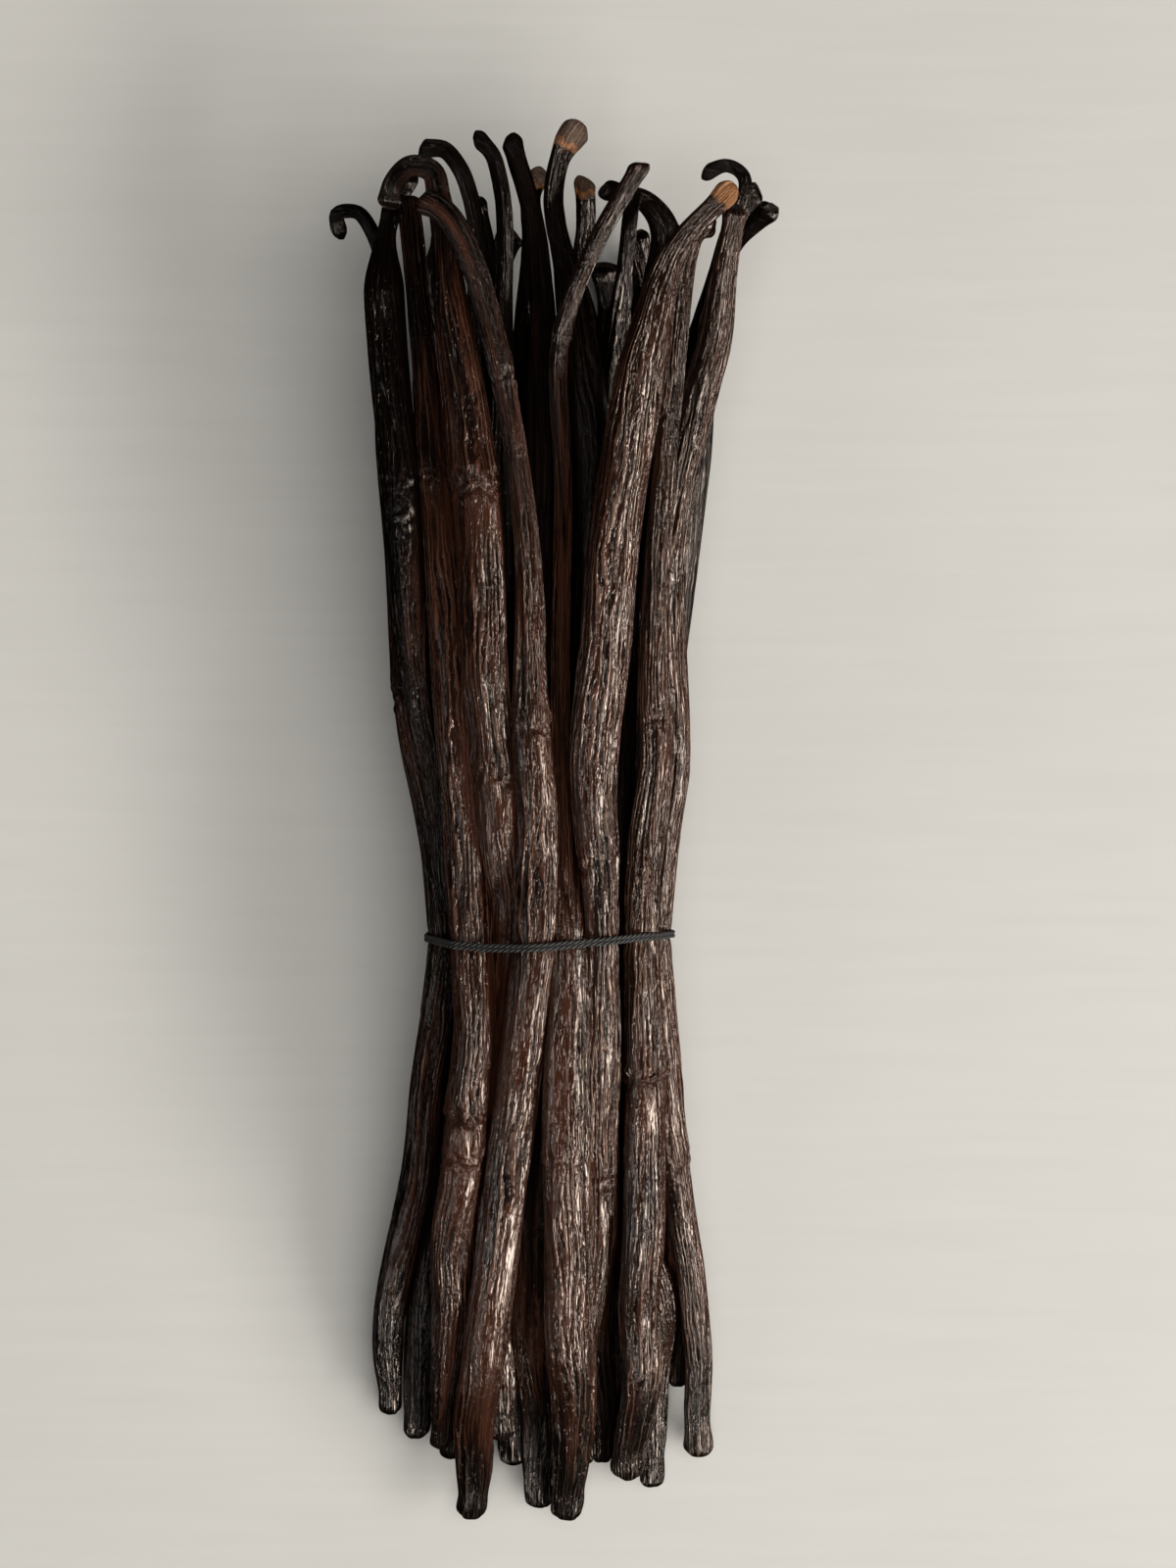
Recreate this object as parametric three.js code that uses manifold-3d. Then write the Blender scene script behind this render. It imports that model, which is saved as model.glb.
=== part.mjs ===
// A bundle of cured vanilla pods, bound once round the waist with a doubled cord, lying on its side.
// Millimetres, +Z up. The pods run along Y, stem ends at +Y. The cord is at y = 0 of the layout frame.
import * as THREE from 'three';
import { mergeVertices } from 'three/addons/utils/BufferGeometryUtils.js';
import Module from 'manifold-3d';

const wasm = await Module();
wasm.setup();

// ---- Pods -----------------------------------------------------------------------------------

// A pod is wider than it is thick, and has a thin stem that ends in a small cut knob.
const THICKNESS_RATIO = 0.88;
const NECK_WIDTH = 2.5;
const KNOB_SWELL = 1.14;
const TIP_RATIO = 0.62;
const TIP_LENGTH = 15;
const TIP_ROUNDING = 0.62;

// Sides of a pod's section, and the shares of its length, from tip to stem, at which it is given.
const SHOWN_SIDES = 8;
const SHOWN_RINGS = [0, 0.004, 0.02, 0.06, 0.13, 0.22, 0.32, 0.43, 0.54, 0.64,
  0.72, 0.785, 0.835, 0.875, 0.91, 0.935, 0.955, 0.972, 0.986, 1];
const UNDER_SIDES = 6;
const UNDER_RINGS = [0, 0.004, 0.03, 0.12, 0.26, 0.42, 0.57, 0.69, 0.77, 0.85, 0.92, 0.96, 0.986, 1];

// Every route runs from tip to stem end as [x, y, height]. width is the widest part, stem the width of
// the thin stem where it differs, neck the stem's length, shoulder the run over which it widens, and
// waist the share of width left by the cord.

// Pods that lie on top and show from end to end.
const TOP_PODS = [
  { width: 5.2, neck: 8, shoulder: 32, route: [[-22.8, -68.5, 3.5], [-21, -53.5, 6.5],
    [-17.8, -33.5, 11], [-16, -6, 18], [-14.9, 0, 18.8], [-15.2, 10, 19], [-19, 32, 18.5],
    [-20, 53, 18.5], [-22.4, 84, 20], [-22.2, 95, 22], [-18.5, 103, 24]] },
  { width: 6.1, stem: 2.6, neck: 3, shoulder: 9, tipRatio: 0.25, tipLength: 62, route: [
    [-13.9, 3.5, 22], [-14.8, 11, 24], [-17, 29, 25], [-19, 55, 26], [-21.7, 82, 26.5],
    [-21.8, 93, 27.5], [-20.6, 98, 28]] },
  { width: 6.1, stem: 3.4, neck: 8, shoulder: 60, tipRatio: 0.42, tipLength: 36, route: [
    [-15.5, -72.5, 6], [-13.2, -46.5, 14.5], [-11, -25, 21.5], [-10.8, 0, 25.2], [-11.7, 21, 26.5],
    [-14.4, 52, 27.5], [-16.2, 73, 28], [-18.1, 93, 28], [-19, 99, 26]] },
  { width: 6.3, stem: 2.7, neck: 2, shoulder: 46, waist: 0.84, route: [[-6.4, -71, 6],
    [-7.6, -52, 10], [-8.4, -22, 17.5], [-6.6, 0, 23.2], [-7.8, 15.5, 27.2], [-8.3, 28, 29.8],
    [-9.3, 58, 31], [-12.9, 85, 32.5], [-13.9, 96, 33.5], [-15.8, 102, 34], [-19.5, 101, 33],
    [-21, 97, 31]] },
  { width: 5.9, stem: 3.1, neck: 34, shoulder: 56, waist: 0.96, tipRatio: 0.58, tipLength: 17, route: [
    [-11.4, -83, 4.5], [-10.4, -73, 8], [-8.8, -61, 11.7], [-8.2, -50, 15.5], [-3.2, -13, 26],
    [-1.9, 0, 28.3], [-3, 15, 29.5], [-2.4, 34, 31], [-3, 56, 32.5], [-7.1, 80, 34.5],
    [-10.6, 91, 36.5], [-13.1, 95, 37], [-16.6, 97, 36]] },
  { width: 6.4, stem: 2.3, neck: 73, shoulder: 38, waist: 0.78, tipLength: 28, route: [
    [2.1, -83, 4.5], [3.4, -66, 11], [2.7, -46, 18], [2.4, -18, 26], [3.2, 0, 27.4], [3.2, 13, 26],
    [1.8, 29, 27.5], [2, 62, 31], [1.6, 79, 33], [6, 91, 34.5], [12.3, 101.5, 37]] },
  { width: 6.9, stem: 2.9, neck: 5, shoulder: 27, waist: 0.74, tipRatio: 0.4, tipLength: 110,
    knob: 1.2, route: [[4.9, -75.5, 4], [4.4, -58, 9], [5.8, -50, 11.5], [6.9, -41, 14.5],
    [6.7, -24, 20.5], [7.2, -13, 24], [6.9, 0, 27], [7, 15, 29.5], [7.3, 31, 31], [9.2, 56, 33.5],
    [13.4, 79.5, 36], [16.6, 90, 37], [24.3, 98.5, 38]] },
  { width: 6.4, stem: 3.2, neck: 26, shoulder: 90, waist: 0.85, tipRatio: 0.72, tipLength: 26, route: [
    [11.3, -77, 5], [12.1, -61, 9.5], [12.9, -32, 18], [13.5, 0, 23], [14.6, 16, 24.3],
    [14.1, 32, 25], [14.6, 50, 26.5], [17.3, 82, 29], [18.2, 90, 29], [19.2, 93.5, 29],
    [22.3, 95.5, 28.5]] },
  { width: 5.3, stem: 3.2, neck: 2, shoulder: 20, tipRatio: 0.8, tipLength: 150, route: [
    [21.2, -74.5, 3.5], [19.2, -53.5, 7], [16.2, -19.5, 15], [14.7, 0, 18], [16.8, 20, 19.5],
    [16.4, 52, 21.5], [20.5, 74, 24.5], [22.2, 80.5, 26.5], [23.4, 90, 28.5], [24.6, 97.5, 30]] },
];

// Pods of the second layer, which show at both ends.
const SECOND_PODS = [
  { width: 5.5, stem: 2.1, neck: 20, shoulder: 30, route: [[-19.3, -72, 3.5], [-16.9, -36, 8.5],
    [-13.6, 0, 12.6], [-15.8, 25, 13.5], [-20, 64, 16], [-22.5, 91, 18.5], [-24.2, 96.3, 20],
    [-26.7, 99, 21], [-29, 98.3, 20], [-28.6, 95.9, 18.5]] },
  { width: 5.6, stem: 2.5, neck: 14, shoulder: 34, route: [[-14.5, -75, 3.5], [-12.7, -39, 11],
    [-9.6, 0, 17.6], [-10.5, 42, 20], [-9.6, 79, 24.5], [-10.2, 98.5, 28], [-13.5, 105, 29],
    [-17, 105.5, 28]] },
  { width: 5.6, stem: 2.3, neck: 20, shoulder: 34, route: [[-4.2, -75.5, 3.5], [-6.4, -39, 11],
    [-4.3, 0, 16.8], [-5.5, 42, 21.5], [-6, 76, 27], [-5.8, 97.5, 30.5], [-7.5, 104.5, 31],
    [-9.5, 106.5, 31]] },
  { width: 5.5, stem: 2.5, neck: 12, shoulder: 34, route: [[-1.5, -82, 3], [-3.4, -70, 4.5],
    [-4, -50, 9], [-1, 0, 22.2], [-1, 40, 25], [-0.5, 70.5, 28], [-1.5, 93.5, 30], [-5, 106.5, 30]] },
  { width: 5.5, stem: 2.6, neck: 15, shoulder: 13, knob: 1.45, route: [[7, -75.5, 3], [7, -38, 11],
    [4.3, 0, 21.6], [5.2, 37, 25], [6.5, 64, 28], [3.5, 84.5, 30], [0.8, 98, 31], [2, 104, 32],
    [4.2, 107.5, 32]] },
  { width: 5.6, stem: 2.3, neck: 10, shoulder: 18, route: [[14.2, -79, 3.5], [12, -52, 7.5],
    [10.4, -30, 12.5], [8.7, 0, 18.8], [9.8, 42, 22], [8.7, 73, 27], [10.6, 93.5, 30.5],
    [11, 99.5, 31]] },
  { width: 5.2, stem: 2.1, neck: 22, shoulder: 24, route: [[17.2, -65, 4], [16.5, -30, 9.5],
    [13.3, 0, 12.8], [16.5, 39.5, 17], [20.8, 76, 22], [22.6, 86, 24], [24, 95, 25],
    [26.4, 100.5, 25], [25.2, 104, 25], [20.8, 103, 24]] },
];

// Pods underneath. place is where [x, height] in the section at the cord, tipY the y of the tip, and
// last the route of the stretch to the stem end.
const UNDER_PODS = [
  { place: [8.6, 13.3], tipY: -66, stem: 2.9, last: [[22.3, 88, 20], [25.5, 98, 21.5],
    [28.4, 101.5, 22]] },
  { place: [3.6, 16.2], tipY: -57, stem: 2.8, neck: 3, shoulder: 15, last: [[14.3, 84, 25],
    [16, 93.5, 27], [13.2, 98.4, 29], [7.5, 99.7, 31]] },
  { place: [3.3, 10.8], tipY: -64, last: [[3.8, 88, 20], [5, 96, 23], [4.9, 102, 26]] },
  { place: [-2, 11.4], tipY: -62, stem: 2.7, last: [[-3, 84, 19], [-2.2, 95, 23], [-2.3, 100.5, 25],
    [-0.8, 102.9, 26]] },
  { place: [-7.2, 12.2], tipY: -67, last: [[-9.5, 84, 17], [-8.5, 93, 20], [-10, 100, 22]] },
  { place: [10.3, 8.5], tipY: -61, stem: 2.9, last: [[17, 62, 5.5], [22.3, 84, 9], [25, 95, 16],
    [30.5, 99.5, 20]] },
  { place: [5.9, 5.8], tipY: -69, stem: 3.6, last: [[9.8, 62, 1.8], [12, 82, 1.6], [13.5, 92, 2.4],
    [12, 99, 5]] },
  { place: [0.6, 4.6], tipY: -64, stem: 3.6, last: [[3.2, 62, 1.8], [7.4, 80, 1.5], [8.6, 90, 1.6],
    [7.4, 95, 3]] },
  { place: [-4.8, 5.4], tipY: -66, stem: 3.6, last: [[-6.8, 62, 1.8], [-7.5, 84, 1.6],
    [-8, 93, 2.6], [-5.5, 99, 6]] },
  { place: [-9.8, 8], tipY: -65, stem: 3.6, last: [[-13.5, 62, 2.6], [-14.5, 84, 3.4],
    [-16.5, 92, 6], [-14.5, 98, 10]] },
];
const UNDER_POD = { width: 5.7, neck: 11, shoulder: 28 };
const UNDER_STATIONS = [-35, 0, 40];

// The bundle's section along its length: half width, half height and height of the middle.
const ENVELOPE = [
  { y: -85, halfWidth: 23, halfHeight: 6, middle: 6 },
  { y: -59, halfWidth: 22.9, halfHeight: 8.3, middle: 8.2 },
  { y: -45, halfWidth: 21.9, halfHeight: 10.3, middle: 10.3 },
  { y: -32, halfWidth: 20.3, halfHeight: 12.2, middle: 12.6 },
  { y: -18, halfWidth: 18.6, halfHeight: 13.8, middle: 15 },
  { y: 0, halfWidth: 16.9, halfHeight: 14.5, middle: 16.7 },
  { y: 21, halfWidth: 18.8, halfHeight: 15.2, middle: 16.5 },
  { y: 34, halfWidth: 20.1, halfHeight: 15.8, middle: 16.2 },
  { y: 61, halfWidth: 22, halfHeight: 17, middle: 16.8 },
  { y: 110, halfWidth: 27, halfHeight: 18.5, middle: 18.5 },
];

// How the pods are settled against each other.
const STATIONS = 56;
const SETTLE_ROUNDS = 60;
const SQUASH = 0.93;
const TOP_MOBILITY = 0.3;
const SECOND_MOBILITY = 0.6;
const UNDER_MOBILITY = 1;
const PUSH = 0.7;
const PULL_HOME = 0.02;
const MEETING_REACH = 4;

// The cord holds the pods inside the envelope, more loosely the further they are from it.
const HOLD_FIRM = 8;
const HOLD_SLACK = 0.00035;
const SQUEEZE_LENGTH = 15;

// The underside is pressed flat where it lies on the surface: what is below goes with a block.
const PRESS = 0.35;
const BELOW_SIZE = 400;

// The section of the bundle's solid heart along its length.
const CORE = [
  { y: -60, halfWidth: 9, halfHeight: 2.5, middle: 4.5 },
  { y: -34, halfWidth: 11, halfHeight: 4, middle: 7 },
  { y: -12, halfWidth: 10.5, halfHeight: 6, middle: 12 },
  { y: 0, halfWidth: 10, halfHeight: 6.5, middle: 14 },
  { y: 30, halfWidth: 12, halfHeight: 7, middle: 14 },
  { y: 68, halfWidth: 13, halfHeight: 7, middle: 14 },
];
const CORE_RINGS = 10;
const CORE_SIDES = 12;

// ---- Cord -----------------------------------------------------------------------------------

// Two turns of thin cord lie side by side round the waist.
const CORD_WIDTH = 1.1;
const CORD_THICKNESS = 0.6;
const CORD_GAP = 0.25;
const CORD_REST = 0.5;
const CORD_SAG = 1.3;
const CORD_SAG_TURN = 118;
const CORD_TORUS = 10;
const CORD_SEGMENTS = 72;
const CORD_SIDES = 8;
const CORD_PLANES = [-1.6, -0.8, 0, 0.8, 1.6];

// Points closer than this are one point, and a share within this of 0 or 1 counts as inside.
const WELD = 1e-4;
const EDGE_SLACK = 1e-6;

// ---- Small helpers --------------------------------------------------------------------------

function mix(a, b, t) {
  return a + (b - a) * t;
}

function smoothstep(t) {
  const u = Math.min(1, Math.max(0, t));
  return u * u * (3 - 2 * u);
}

// The section at y of a table of sections, straight between the given ones.
function sectionAt(sections, y) {
  const last = sections.length - 1;
  const clamped = Math.min(sections[last].y, Math.max(sections[0].y, y));
  let i = 0;
  while (i < last - 1 && sections[i + 1].y < clamped) i += 1;
  const a = sections[i];
  const b = sections[i + 1];
  const t = (clamped - a.y) / (b.y - a.y);
  return {
    halfWidth: mix(a.halfWidth, b.halfWidth, t),
    halfHeight: mix(a.halfHeight, b.halfHeight, t),
    middle: mix(a.middle, b.middle, t),
  };
}

function envelopeAt(y) {
  return sectionAt(ENVELOPE, y);
}

// Width of a pod at a distance s from its tip, of its whole length, where its route is at y.
function widthAt(pod, s, length, y) {
  const tipRatio = pod.tipRatio ?? TIP_RATIO;
  const tipLength = pod.tipLength ?? TIP_LENGTH;
  const fromTip = mix(tipRatio, 1, smoothstep(0.5 + s / tipLength / 2) * 2 - 1);
  const toNeck = smoothstep((length - pod.neck - s) / pod.shoulder);
  const squeeze = 1 - (1 - (pod.waist ?? 1)) * Math.exp(-((y / SQUEEZE_LENGTH) ** 2));
  return mix(pod.stem ?? NECK_WIDTH, pod.width * fromTip * squeeze, toNeck);
}

// Route of an underneath pod: its place at the waist, carried outwards as the envelope widens.
function underRoute({ place: [x, height], tipY, last }) {
  const radius = UNDER_POD.width / 2;
  const bound = envelopeAt(0);
  const carried = (y) => {
    const { halfWidth, halfHeight, middle } = envelopeAt(y);
    const wider = (halfWidth - radius) / (bound.halfWidth - radius);
    const taller = (halfHeight - radius) / (bound.halfHeight - radius);
    return [x * wider, y, middle + (height - bound.middle) * taller];
  };
  return [carried(tipY), ...UNDER_STATIONS.map(carried), ...last];
}

// ---- Settling -------------------------------------------------------------------------------

function layPod(spec, route, mobility, sides, rings) {
  const points = route.map(([x, y, z]) => new THREE.Vector3(x, y, z));
  const curve = new THREE.CatmullRomCurve3(points, false, 'centripetal');
  const length = curve.getLength();
  const stations = [];
  for (let i = 0; i < STATIONS; i += 1) {
    const share = i / (STATIONS - 1);
    const at = curve.getPointAt(share);
    stations.push({ at, home: at.clone(), radius: widthAt(spec, share * length, length, at.y) / 2 });
  }
  return { spec, length, mobility, stations, sides, rings };
}

// Adds to the pushes of two pods the moves that part them where they overlap.
function partPods(a, b, pushA, pushB) {
  const shareA = a.mobility / (a.mobility + b.mobility);
  const apart = new THREE.Vector3();
  for (let i = 0; i < STATIONS; i += 1) {
    const p = a.stations[i];
    for (let j = 0; j < STATIONS; j += 1) {
      const q = b.stations[j];
      if (Math.abs(p.at.y - q.at.y) > MEETING_REACH) continue;
      const reach = SQUASH * (p.radius + q.radius);
      apart.subVectors(p.at, q.at);
      const distance = apart.length();
      if (distance >= reach || distance < WELD) continue;
      const overlap = reach - distance;
      apart.multiplyScalar(overlap / distance);
      pushA[i].move.addScaledVector(apart, shareA * overlap);
      pushA[i].weight += overlap;
      pushB[j].move.addScaledVector(apart, -(1 - shareA) * overlap);
      pushB[j].weight += overlap;
    }
  }
}

// Smooths a pod's moves along its length, so that it bends and doesn't kink.
function smoothMoves(moves) {
  return moves.map((move, i) => {
    const before = moves[Math.max(0, i - 1)];
    const after = moves[Math.min(moves.length - 1, i + 1)];
    return before.clone().add(after).multiplyScalar(0.25).addScaledVector(move, 0.5);
  });
}

// The move that brings a station back inside the bound waist and above the surface.
function holdMove({ at, radius }) {
  const { halfWidth, halfHeight, middle } = envelopeAt(at.y);
  const up = at.z - middle;
  const slack = 1 + HOLD_SLACK * Math.max(0, Math.abs(at.y) - HOLD_FIRM) ** 2;
  const reach = Math.hypot(at.x / (halfWidth - radius), up / (halfHeight - radius)) / slack;
  const back = 1 / Math.max(reach, 1) - 1;
  return new THREE.Vector3(at.x * back, 0, Math.max(up * back, floorHeight(radius) - at.z));
}

function floorHeight(radius) {
  return radius * THICKNESS_RATIO - PRESS;
}

function settle(pods) {
  for (let round = 0; round < SETTLE_ROUNDS; round += 1) {
    const pushes = pods.map(() => {
      return Array.from({ length: STATIONS }, () => ({ move: new THREE.Vector3(), weight: 0 }));
    });
    for (let a = 0; a < pods.length; a += 1) {
      for (let b = a + 1; b < pods.length; b += 1) partPods(pods[a], pods[b], pushes[a], pushes[b]);
    }
    pods.forEach(({ stations }, k) => {
      const moves = pushes[k].map(({ move, weight }, i) => {
        return move.multiplyScalar(weight > 0 ? PUSH / weight : 0).add(holdMove(stations[i]));
      });
      const smooth = smoothMoves(smoothMoves(moves));
      stations.forEach((station, i) => {
        station.at.add(smooth[i]).lerp(station.home, PULL_HOME);
        station.at.z = Math.max(station.at.z, floorHeight(station.radius));
      });
    });
  }
}

// ---- Solids ---------------------------------------------------------------------------------

function toManifold(geometry) {
  const clean = geometry.clone();
  clean.deleteAttribute('normal');
  clean.deleteAttribute('uv');
  const merged = mergeVertices(clean, WELD);
  const index = merged.index.array;
  const kept = [];
  for (let i = 0; i < index.length; i += 3) {
    const [a, b, c] = [index[i], index[i + 1], index[i + 2]];
    if (a !== b && b !== c && c !== a) kept.push(a, b, c);
  }
  return new wasm.Manifold(new wasm.Mesh({
    numProp: 3,
    vertProperties: Float32Array.from(merged.attributes.position.array),
    triVerts: Uint32Array.from(kept),
  }));
}

function fromManifold(solid) {
  const { vertProperties, triVerts } = solid.getMesh();
  const geometry = new THREE.BufferGeometry();
  geometry.setAttribute('position', new THREE.BufferAttribute(Float32Array.from(vertProperties), 3));
  geometry.setIndex(new THREE.BufferAttribute(Uint32Array.from(triVerts), 1));
  return geometry;
}

// Bends a lathe-turned pod, whose profile runs along Y, onto its settled route.
function podGeometry({ spec, length, stations, sides, rings }) {
  const corner = 1 / Math.sqrt(Math.cos(Math.PI / sides));
  const last = rings.length - 1;
  const route = new THREE.CatmullRomCurve3(stations.map(({ at }) => at), false, 'centripetal');
  const profile = rings.map((share, i) => {
    const radius = (widthAt(spec, share * length, length, route.getPoint(share).y) / 2) * corner;
    if (i === 0) return new THREE.Vector2(0, share);
    if (i === 1) return new THREE.Vector2(radius * TIP_ROUNDING, share);
    if (i >= last - 1) return new THREE.Vector2(radius * (spec.knob ?? KNOB_SWELL), share);
    return new THREE.Vector2(radius, share);
  });
  profile.push(new THREE.Vector2(0, 1));
  const geometry = new THREE.LatheGeometry(profile, sides);
  const across = carriedSides(stations);
  const position = geometry.attributes.position;
  const point = new THREE.Vector3();
  for (let i = 0; i < position.count; i += 1) {
    point.fromBufferAttribute(position, i);
    const share = point.y;
    const at = route.getPoint(share);
    const tangent = route.getTangent(share);
    const side = sideAt(across, share, tangent);
    const up = new THREE.Vector3().crossVectors(side, tangent);
    at.addScaledVector(side, point.x);
    at.addScaledVector(up, point.z * THICKNESS_RATIO);
    position.setXYZ(i, at.x, at.y, at.z);
  }
  return geometry;
}

// Side direction at every station: level at the waist, then carried along without twisting.
function carriedSides(stations) {
  const count = stations.length;
  const tangents = stations.map((station, i) => {
    const before = stations[Math.max(0, i - 1)].at;
    const after = stations[Math.min(count - 1, i + 1)].at;
    return new THREE.Vector3().subVectors(after, before).normalize();
  });
  const middle = Math.floor(count / 2);
  const { at } = stations[middle];
  const outward = new THREE.Vector3(at.x, 0, at.z - envelopeAt(at.y).middle).normalize();
  const sides = [];
  sides[middle] = new THREE.Vector3().crossVectors(tangents[middle], outward).normalize();
  const carry = (from, to) => {
    const along = tangents[to];
    const side = sides[from].clone();
    sides[to] = side.addScaledVector(along, -side.dot(along)).normalize();
  };
  for (let i = middle + 1; i < count; i += 1) carry(i - 1, i);
  for (let i = middle - 1; i >= 0; i -= 1) carry(i + 1, i);
  return sides;
}

function sideAt(sides, share, tangent) {
  const place = share * (sides.length - 1);
  const low = Math.min(sides.length - 2, Math.floor(place));
  const side = sides[low].clone().lerp(sides[low + 1], place - low);
  return side.addScaledVector(tangent, -side.dot(tangent)).normalize();
}

// The heart: a lathe-turned barrel with rounded ends, whose every ring is fitted to its section.
function coreGeometry() {
  const profile = [];
  for (let i = 0; i <= CORE_RINGS; i += 1) {
    const along = i / CORE_RINGS;
    const share = Math.sqrt(Math.max(0, 1 - (2 * along - 1) ** 4));
    profile.push(new THREE.Vector2(share, mix(CORE[0].y, CORE[CORE.length - 1].y, along)));
  }
  const geometry = new THREE.LatheGeometry(profile, CORE_SIDES);
  const position = geometry.attributes.position;
  for (let i = 0; i < position.count; i += 1) {
    const { halfWidth, halfHeight, middle } = sectionAt(CORE, position.getY(i));
    position.setX(i, position.getX(i) * halfWidth);
    position.setZ(i, middle + position.getZ(i) * halfHeight);
  }
  return geometry;
}

// The outer skin of the largest body: sealed hollows are filled and loose scraps dropped.
function outerSkin(geometry) {
  const index = geometry.index.array;
  const position = geometry.attributes.position;
  const parent = Array.from({ length: position.count }, (_, i) => i);
  const root = (i) => {
    let k = i;
    while (parent[k] !== k) {
      parent[k] = parent[parent[k]];
      k = parent[k];
    }
    return k;
  };
  for (let i = 0; i < index.length; i += 3) {
    parent[root(index[i])] = root(index[i + 1]);
    parent[root(index[i + 1])] = root(index[i + 2]);
  }
  const volumes = new Map();
  const [a, b, c] = [new THREE.Vector3(), new THREE.Vector3(), new THREE.Vector3()];
  for (let i = 0; i < index.length; i += 3) {
    a.fromBufferAttribute(position, index[i]);
    b.fromBufferAttribute(position, index[i + 1]);
    c.fromBufferAttribute(position, index[i + 2]);
    const key = root(index[i]);
    volumes.set(key, (volumes.get(key) ?? 0) + a.dot(b.cross(c)) / 6);
  }
  const largest = [...volumes].sort((p, q) => q[1] - p[1])[0][0];
  const kept = [];
  for (let i = 0; i < index.length; i += 3) {
    if (root(index[i]) === largest) kept.push(index[i], index[i + 1], index[i + 2]);
  }
  const skin = new THREE.BufferGeometry();
  skin.setAttribute('position', position);
  skin.setIndex(kept);
  return skin;
}

function bundleGeometry(pods) {
  let solid = toManifold(coreGeometry());
  for (const pod of pods) solid = solid.add(toManifold(podGeometry(pod)));
  const below = new THREE.BoxGeometry(BELOW_SIZE, BELOW_SIZE, BELOW_SIZE);
  below.translate(0, 0, -BELOW_SIZE / 2);
  solid = solid.subtract(toManifold(below));
  return outerSkin(fromManifold(solid));
}

// Points, as [x, z], where the edges of a mesh cross the plane at y.
function crossings(geometry, y) {
  const index = geometry.index.array;
  const position = geometry.attributes.position;
  const points = [];
  for (let i = 0; i < index.length; i += 1) {
    const p = index[i];
    const q = index[i % 3 === 2 ? i - 2 : i + 1];
    const py = position.getY(p) - y;
    const qy = position.getY(q) - y;
    if (py * qy > 0 || py === qy) continue;
    const t = py / (py - qy);
    points.push([mix(position.getX(p), position.getX(q), t), mix(position.getZ(p), position.getZ(q), t)]);
  }
  return points;
}

// Outline of the waist, under the width of the cord: a convex hull as [x, z] pairs.
function waistHull(bundle) {
  const points = CORD_PLANES.flatMap((y) => crossings(bundle, y));
  points.sort((p, q) => p[0] - q[0] || p[1] - q[1]);
  const half = (list) => {
    const chain = [];
    for (const p of list) {
      while (chain.length > 1) {
        const [u, v] = chain.slice(-2);
        if ((v[0] - u[0]) * (p[1] - u[1]) - (v[1] - u[1]) * (p[0] - u[0]) > 0) break;
        chain.pop();
      }
      chain.push(p);
    }
    return chain.slice(0, -1);
  };
  return [...half(points), ...half(points.reverse())];
}

// Distance from the waist's middle to the hull in the direction of an angle.
function hullReach(hull, middle, angle) {
  const dx = Math.cos(angle);
  const dz = Math.sin(angle);
  let reach = 0;
  hull.forEach(([x1, z1], i) => {
    const [x2, z2] = hull[(i + 1) % hull.length];
    const ex = x2 - x1;
    const ez = z2 - z1;
    const cross = dx * ez - dz * ex;
    if (Math.abs(cross) < EDGE_SLACK) return;
    const along = (x1 * ez - (z1 - middle) * ex) / cross;
    const share = (x1 * dz - (z1 - middle) * dx) / cross;
    if (share >= -EDGE_SLACK && share <= 1 + EDGE_SLACK) reach = Math.max(reach, along);
  });
  return reach;
}

// The cord's ring: a unit torus whose circle is laid on the waist's outline, just clear of the pods.
function cordGeometry(bundle) {
  const hull = waistHull(bundle);
  const middle = envelopeAt(0).middle;
  const clear = CORD_GAP + CORD_THICKNESS / 2;
  const geometry = new THREE.TorusGeometry(CORD_TORUS, 1, CORD_SIDES, CORD_SEGMENTS);
  const position = geometry.attributes.position;
  for (let i = 0; i < position.count; i += 1) {
    const x = position.getX(i);
    const z = position.getY(i);
    const angle = Math.atan2(z, x);
    const outward = Math.hypot(x, z) - CORD_TORUS;
    const reach = hullReach(hull, middle, angle) + clear + outward * (CORD_THICKNESS / 2);
    const y = cordSag(angle) - position.getZ(i) * (CORD_WIDTH / 2);
    position.setXYZ(i, Math.cos(angle) * reach, y, middle + Math.sin(angle) * reach);
  }
  return geometry;
}

// The y of the cord: it sags towards the tips around one turn of the waist, at the upper left.
function cordSag(angle) {
  const near = Math.max(0, Math.cos(angle - THREE.MathUtils.degToRad(CORD_SAG_TURN)));
  return CORD_REST - CORD_SAG * near * near;
}

// ---- Assembly -------------------------------------------------------------------------------

const pods = [
  ...TOP_PODS.map((pod) => layPod(pod, pod.route, TOP_MOBILITY, SHOWN_SIDES, SHOWN_RINGS)),
  ...SECOND_PODS.map((pod) => layPod(pod, pod.route, SECOND_MOBILITY, SHOWN_SIDES, SHOWN_RINGS)),
  ...UNDER_PODS.map((pod) => {
    return layPod({ ...UNDER_POD, ...pod }, underRoute(pod), UNDER_MOBILITY, UNDER_SIDES, UNDER_RINGS);
  }),
];
settle(pods);

const podMaterial = new THREE.MeshStandardMaterial({ color: 0x2a1711, roughness: 0.42, metalness: 0 });
const cordMaterial = new THREE.MeshStandardMaterial({ color: 0x2c2a29, roughness: 0.8, metalness: 0 });

const bundle = bundleGeometry(pods);
const podMesh = new THREE.Mesh(bundle, podMaterial);
podMesh.name = 'pods';
const cordMesh = new THREE.Mesh(cordGeometry(bundle), cordMaterial);
cordMesh.name = 'tie';

// The part's origin is on the surface, under the middle of its bounding box.
const group = new THREE.Group();
group.add(podMesh, cordMesh);
const box = new THREE.Box3().setFromObject(group);
group.position.set(-(box.min.x + box.max.x) / 2, -(box.min.y + box.max.y) / 2, -box.min.z);

export default group;
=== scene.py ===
import math

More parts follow.
